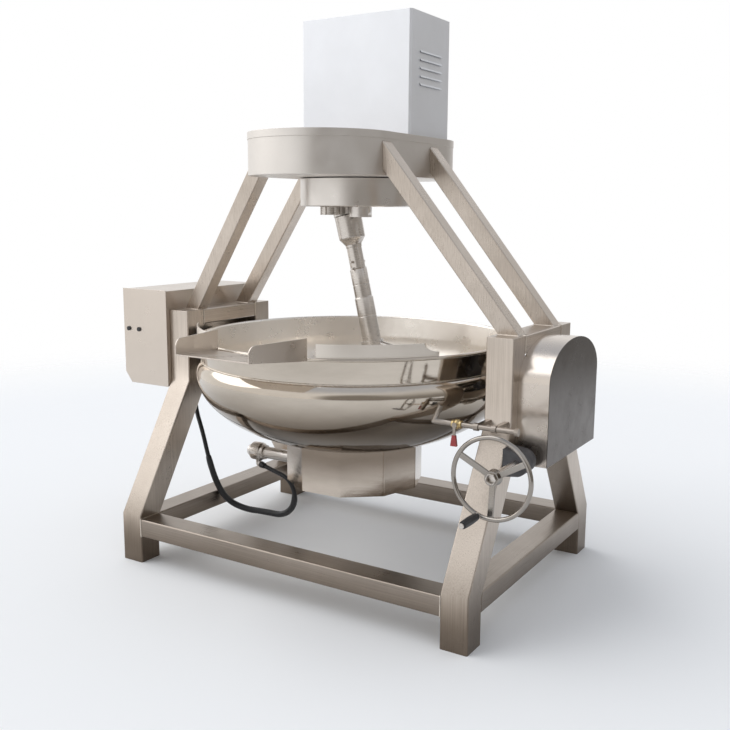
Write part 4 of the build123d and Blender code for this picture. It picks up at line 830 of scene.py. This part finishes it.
class KETTLE_OT_cable(bpy.types.Operator):
    """Supply cable from the terminal head to the control box, with a sleeve over its loop."""
    bl_idname = "kettle.cable"
    bl_label = "Supply cable"

    def execute(self, context):
        line = self.smooth_line(CABLE_ROUTE)
        circles = circles_along(line, CABLE_SIDES, [CABLE_HELPER])
        r = context.scene.kettle_sizes.cable_diameter / 2
        cable = grid_piece("supply_cable", line[:, None] + r * circles, "rubber",
                           wrap_v=True, ends=True)
        # sleeve: the same line with a larger radius, drawn in to the cable at both ends as the
        # square root of the distance from the end
        along = distance_along(line)
        on = (along > SLEEVE_START) & (along < SLEEVE_END)
        from_end = np.minimum(along[on] - SLEEVE_START, SLEEVE_END - along[on])
        swell = np.sqrt(np.clip(from_end / SLEEVE_TAPER, 0, 1))
        thick = r * (SLEEVE_LEAST + SLEEVE_SWELL * swell)
        sleeve = grid_piece("cable_sleeve", line[on][:, None] + thick[:, None, None] * circles[on],
                            "black", wrap_v=True, ends=True)
        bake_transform(sleeve)
        stand_for(cable, "heater_cable")
        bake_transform(cable)
        return {"FINISHED"}

    def smooth_line(self, route):
        """Points along the smooth spline that a route's points control."""
        curve = bpy.data.curves.new("cable_line", "CURVE")
        curve.dimensions = "3D"
        spline = curve.splines.new("NURBS")
        spline.points.add(len(route) - 1)
        spline.points.foreach_set("co", np.c_[route, np.ones(len(route))].ravel())
        spline.order_u = 3
        spline.use_endpoint_u = True
        spline.resolution_u = 16
        guide = put_in_scene("cable_line", curve)
        sampled = bpy.data.meshes.new_from_object(guide.evaluated_get(
            bpy.context.evaluated_depsgraph_get()))
        line = np.empty(len(sampled.vertices) * 3)
        sampled.vertices.foreach_get("co", line)
        bpy.data.objects.remove(guide)
        bpy.data.meshes.remove(sampled)
        return line.reshape(-1, 3)


class KETTLE_OT_welds(bpy.types.Operator):
    """Weld beads at the joints of the stand and gantry."""
    bl_idname = "kettle.welds"
    bl_label = "Welds"

    def execute(self, context):
        sizes = context.scene.kettle_sizes
        paths = []
        for rail in ("rail_front", "rail_rear"):
            a, b = low(rail), high(rail)
            for x in (a[0], b[0]):
                paths.append([(x, a[1], a[2]), (x, b[1], a[2]), (x, b[1], b[2]), (x, a[1], b[2]),
                              (x, a[1], a[2])])
        for beam in ("beam_left", "beam_right"):
            a, b = low(beam), high(beam)
            for y in (a[1], b[1]):
                paths.append([(a[0], y, a[2]), (a[0], y, b[2]), (b[0], y, b[2]), (b[0], y, a[2])])
        for side in ("left", "right"):
            for end in ("front", "rear"):
                a, b = self.foot_of(f"strut_{end}_{side}")
                paths.append([(a[0], a[1], a[2]), (b[0], a[1], a[2]), (b[0], b[1], a[2]),
                              (a[0], b[1], a[2]), (a[0], a[1], a[2])])
        beads("stand_welds", paths, sizes.weld_radius, sizes.ripple_pitch, "frame")
        return {"FINISHED"}

    def foot_of(self, strut):
        """Lowest and highest corner of the points at a strut's lowest level."""
        mesh = NODES[strut].data
        points = np.empty(len(mesh.vertices) * 3)
        mesh.vertices.foreach_get("co", points)
        points = points.reshape(-1, 3)
        foot = points[points[:, 2] < points[:, 2].min() + FOOT_DEPTH]
        return foot.min(0), foot.max(0)


class KETTLE_OT_stage(bpy.types.Operator):
    """Floor, backdrop, key light and camera."""
    bl_idname = "kettle.stage"
    bl_label = "Floor, light and camera"

    def execute(self, context):
        stage = context.scene.kettle_stage
        self.add_floor(stage)
        self.add_backdrop(context.scene, stage)
        lamp = bpy.data.lights.new("key", "SUN")
        lamp.angle, lamp.energy = stage.key_softness, stage.key
        key = put_in_scene("key", lamp)
        key.rotation_euler = Vector(KEY_WAY).to_track_quat("Z", "Y").to_euler()
        camera = bpy.data.cameras.new("camera")
        camera.sensor_width = 36.0
        camera.lens = stage.lens
        camera.shift_x, camera.shift_y = stage.shift
        eye = put_in_scene("camera", camera)
        eye.location = stage.eye
        eye.rotation_euler = stage.eye_turn
        context.scene.camera = eye
        context.scene.view_settings.view_transform = "Standard"
        return {"FINISHED"}

    def add_floor(self, stage):
        """A level floor that fades to nothing with the distance from the kettle."""
        mesh = bpy.data.meshes.new("floor")
        e = FLOOR_HALF
        mesh.from_pydata([(-e, -e, 0), (e, -e, 0), (e, e, 0), (-e, e, 0)], [], [(0, 1, 2, 3)])
        floor = put_in_scene("floor", mesh)
        s = Surface("floor", stage.floor, 0.0, 0.75)
        s.tint(s.noise(0.8, detail=3.0), (0.99, 0.99, 0.99), (1.0, 1.0, 1.0))
        s.shader.inputs["Specular IOR Level"].default_value = 0.15
        away = s.add("ShaderNodeVectorMath", operation="LENGTH")
        s.links.new(s.place, away.inputs[0])
        fade = s.spread(away.outputs["Value"], stage.floor_reach * FADE_START, stage.floor_reach,
                        0.0, 1.0, "SMOOTHSTEP")
        mix = s.add("ShaderNodeMixShader")
        s.links.new(fade, mix.inputs["Fac"])
        s.links.new(s.shader.outputs["BSDF"], mix.inputs[1])
        s.links.new(s.add("ShaderNodeBsdfTransparent").outputs["BSDF"], mix.inputs[2])
        s.links.new(mix.outputs["Shader"], s.nodes["Material Output"].inputs["Surface"])
        mesh.materials.append(s.material)

    def add_backdrop(self, scene, stage):
        """White all round, with a softer ceiling and two grey sides for the metal to show."""
        world = bpy.data.worlds.new("studio")
        scene.world = world
        world.use_nodes = True
        nodes, links = world.node_tree.nodes, world.node_tree.links
        way = nodes.new("ShaderNodeTexCoord").outputs["Generated"]

        def zone(toward, limits):
            """Factor from 0 to 1 as the cosine to a direction goes from one limit to the other."""
            dot = nodes.new("ShaderNodeVectorMath")
            dot.operation = "DOT_PRODUCT"
            dot.inputs[1].default_value = toward
            links.new(way, dot.inputs[0])
            fade = nodes.new("ShaderNodeMapRange")
            fade.interpolation_type = "SMOOTHSTEP"
            fade.inputs["From Min"].default_value, fade.inputs["From Max"].default_value = limits
            links.new(dot.outputs["Value"], fade.inputs["Value"])
            return fade.outputs["Result"]

        def layer(under, shade, factor):
            """Colour that goes from the one under it, or white, to a shade with the factor."""
            mix = nodes.new("ShaderNodeMix")
            mix.data_type = "RGBA"
            mix.inputs["A"].default_value = (1.0, 1.0, 1.0, 1.0)
            mix.inputs["B"].default_value = (*shade, 1.0)
            links.new(factor, mix.inputs["Factor"])
            if under is not None:
                links.new(under, mix.inputs["A"])
            return mix.outputs["Result"]

        overhead = layer(None, stage.ceiling, zone(UP, CEILING_ZONE))
        shaded = nodes.new("ShaderNodeMath")
        shaded.operation = "MULTIPLY"
        links.new(zone(HANDWHEEL_WAY, SHADED_ZONE), shaded.inputs[0])
        links.new(zone(DOWN, NOT_ABOVE_ZONE), shaded.inputs[1])
        sided = layer(overhead, stage.shaded_side, shaded.outputs["Value"])
        colour = layer(sided, stage.near_side, zone(CAMERA_WAY, NEAR_ZONE))
        links.new(colour, nodes["Background"].inputs["Color"])
        nodes["Background"].inputs["Strength"].default_value = 1.0


class KETTLE_PT_panel(bpy.types.Panel):
    """Buttons of the kettle's pieces, and their sizes and colours."""
    bl_idname = "KETTLE_PT_panel"
    bl_label = "Jacketed Kettle"
    bl_space_type = "VIEW_3D"
    bl_region_type = "UI"
    bl_category = "Kettle"

    def draw(self, context):
        column = self.layout.column()
        for operator in OPERATORS:
            column.operator(operator.bl_idname)
        for group in GROUPS:
            settings = getattr(context.scene, group)
            for name in type(settings).__annotations__:
                column.prop(settings, name)


GROUPS = {
    "kettle_sizes": KettleSizes,
    "kettle_colours": KettleColours,
    "kettle_stage": KettleStage,
}
OPERATORS = (
    KETTLE_OT_stand, KETTLE_OT_covers, KETTLE_OT_kettle, KETTLE_OT_gear, KETTLE_OT_stirrer,
    KETTLE_OT_valve, KETTLE_OT_cable, KETTLE_OT_welds, KETTLE_OT_stage,
)
CLASSES = (*GROUPS.values(), *OPERATORS, KETTLE_PT_panel)


def register():
    """Add the classes and the scene's settings."""
    for cls in CLASSES:
        bpy.utils.register_class(cls)
    for name, group in GROUPS.items():
        setattr(bpy.types.Scene, name, PointerProperty(type=group))


def unregister():
    """Take the scene's settings and the classes away again."""
    for name in GROUPS:
        delattr(bpy.types.Scene, name)
    for cls in reversed(CLASSES):
        bpy.utils.unregister_class(cls)


def main():
    """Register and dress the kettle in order."""
    register()
    for operator in OPERATORS:
        group, name = operator.bl_idname.split(".")
        getattr(getattr(bpy.ops, group), name)()


if __name__ == "__main__":
    main()
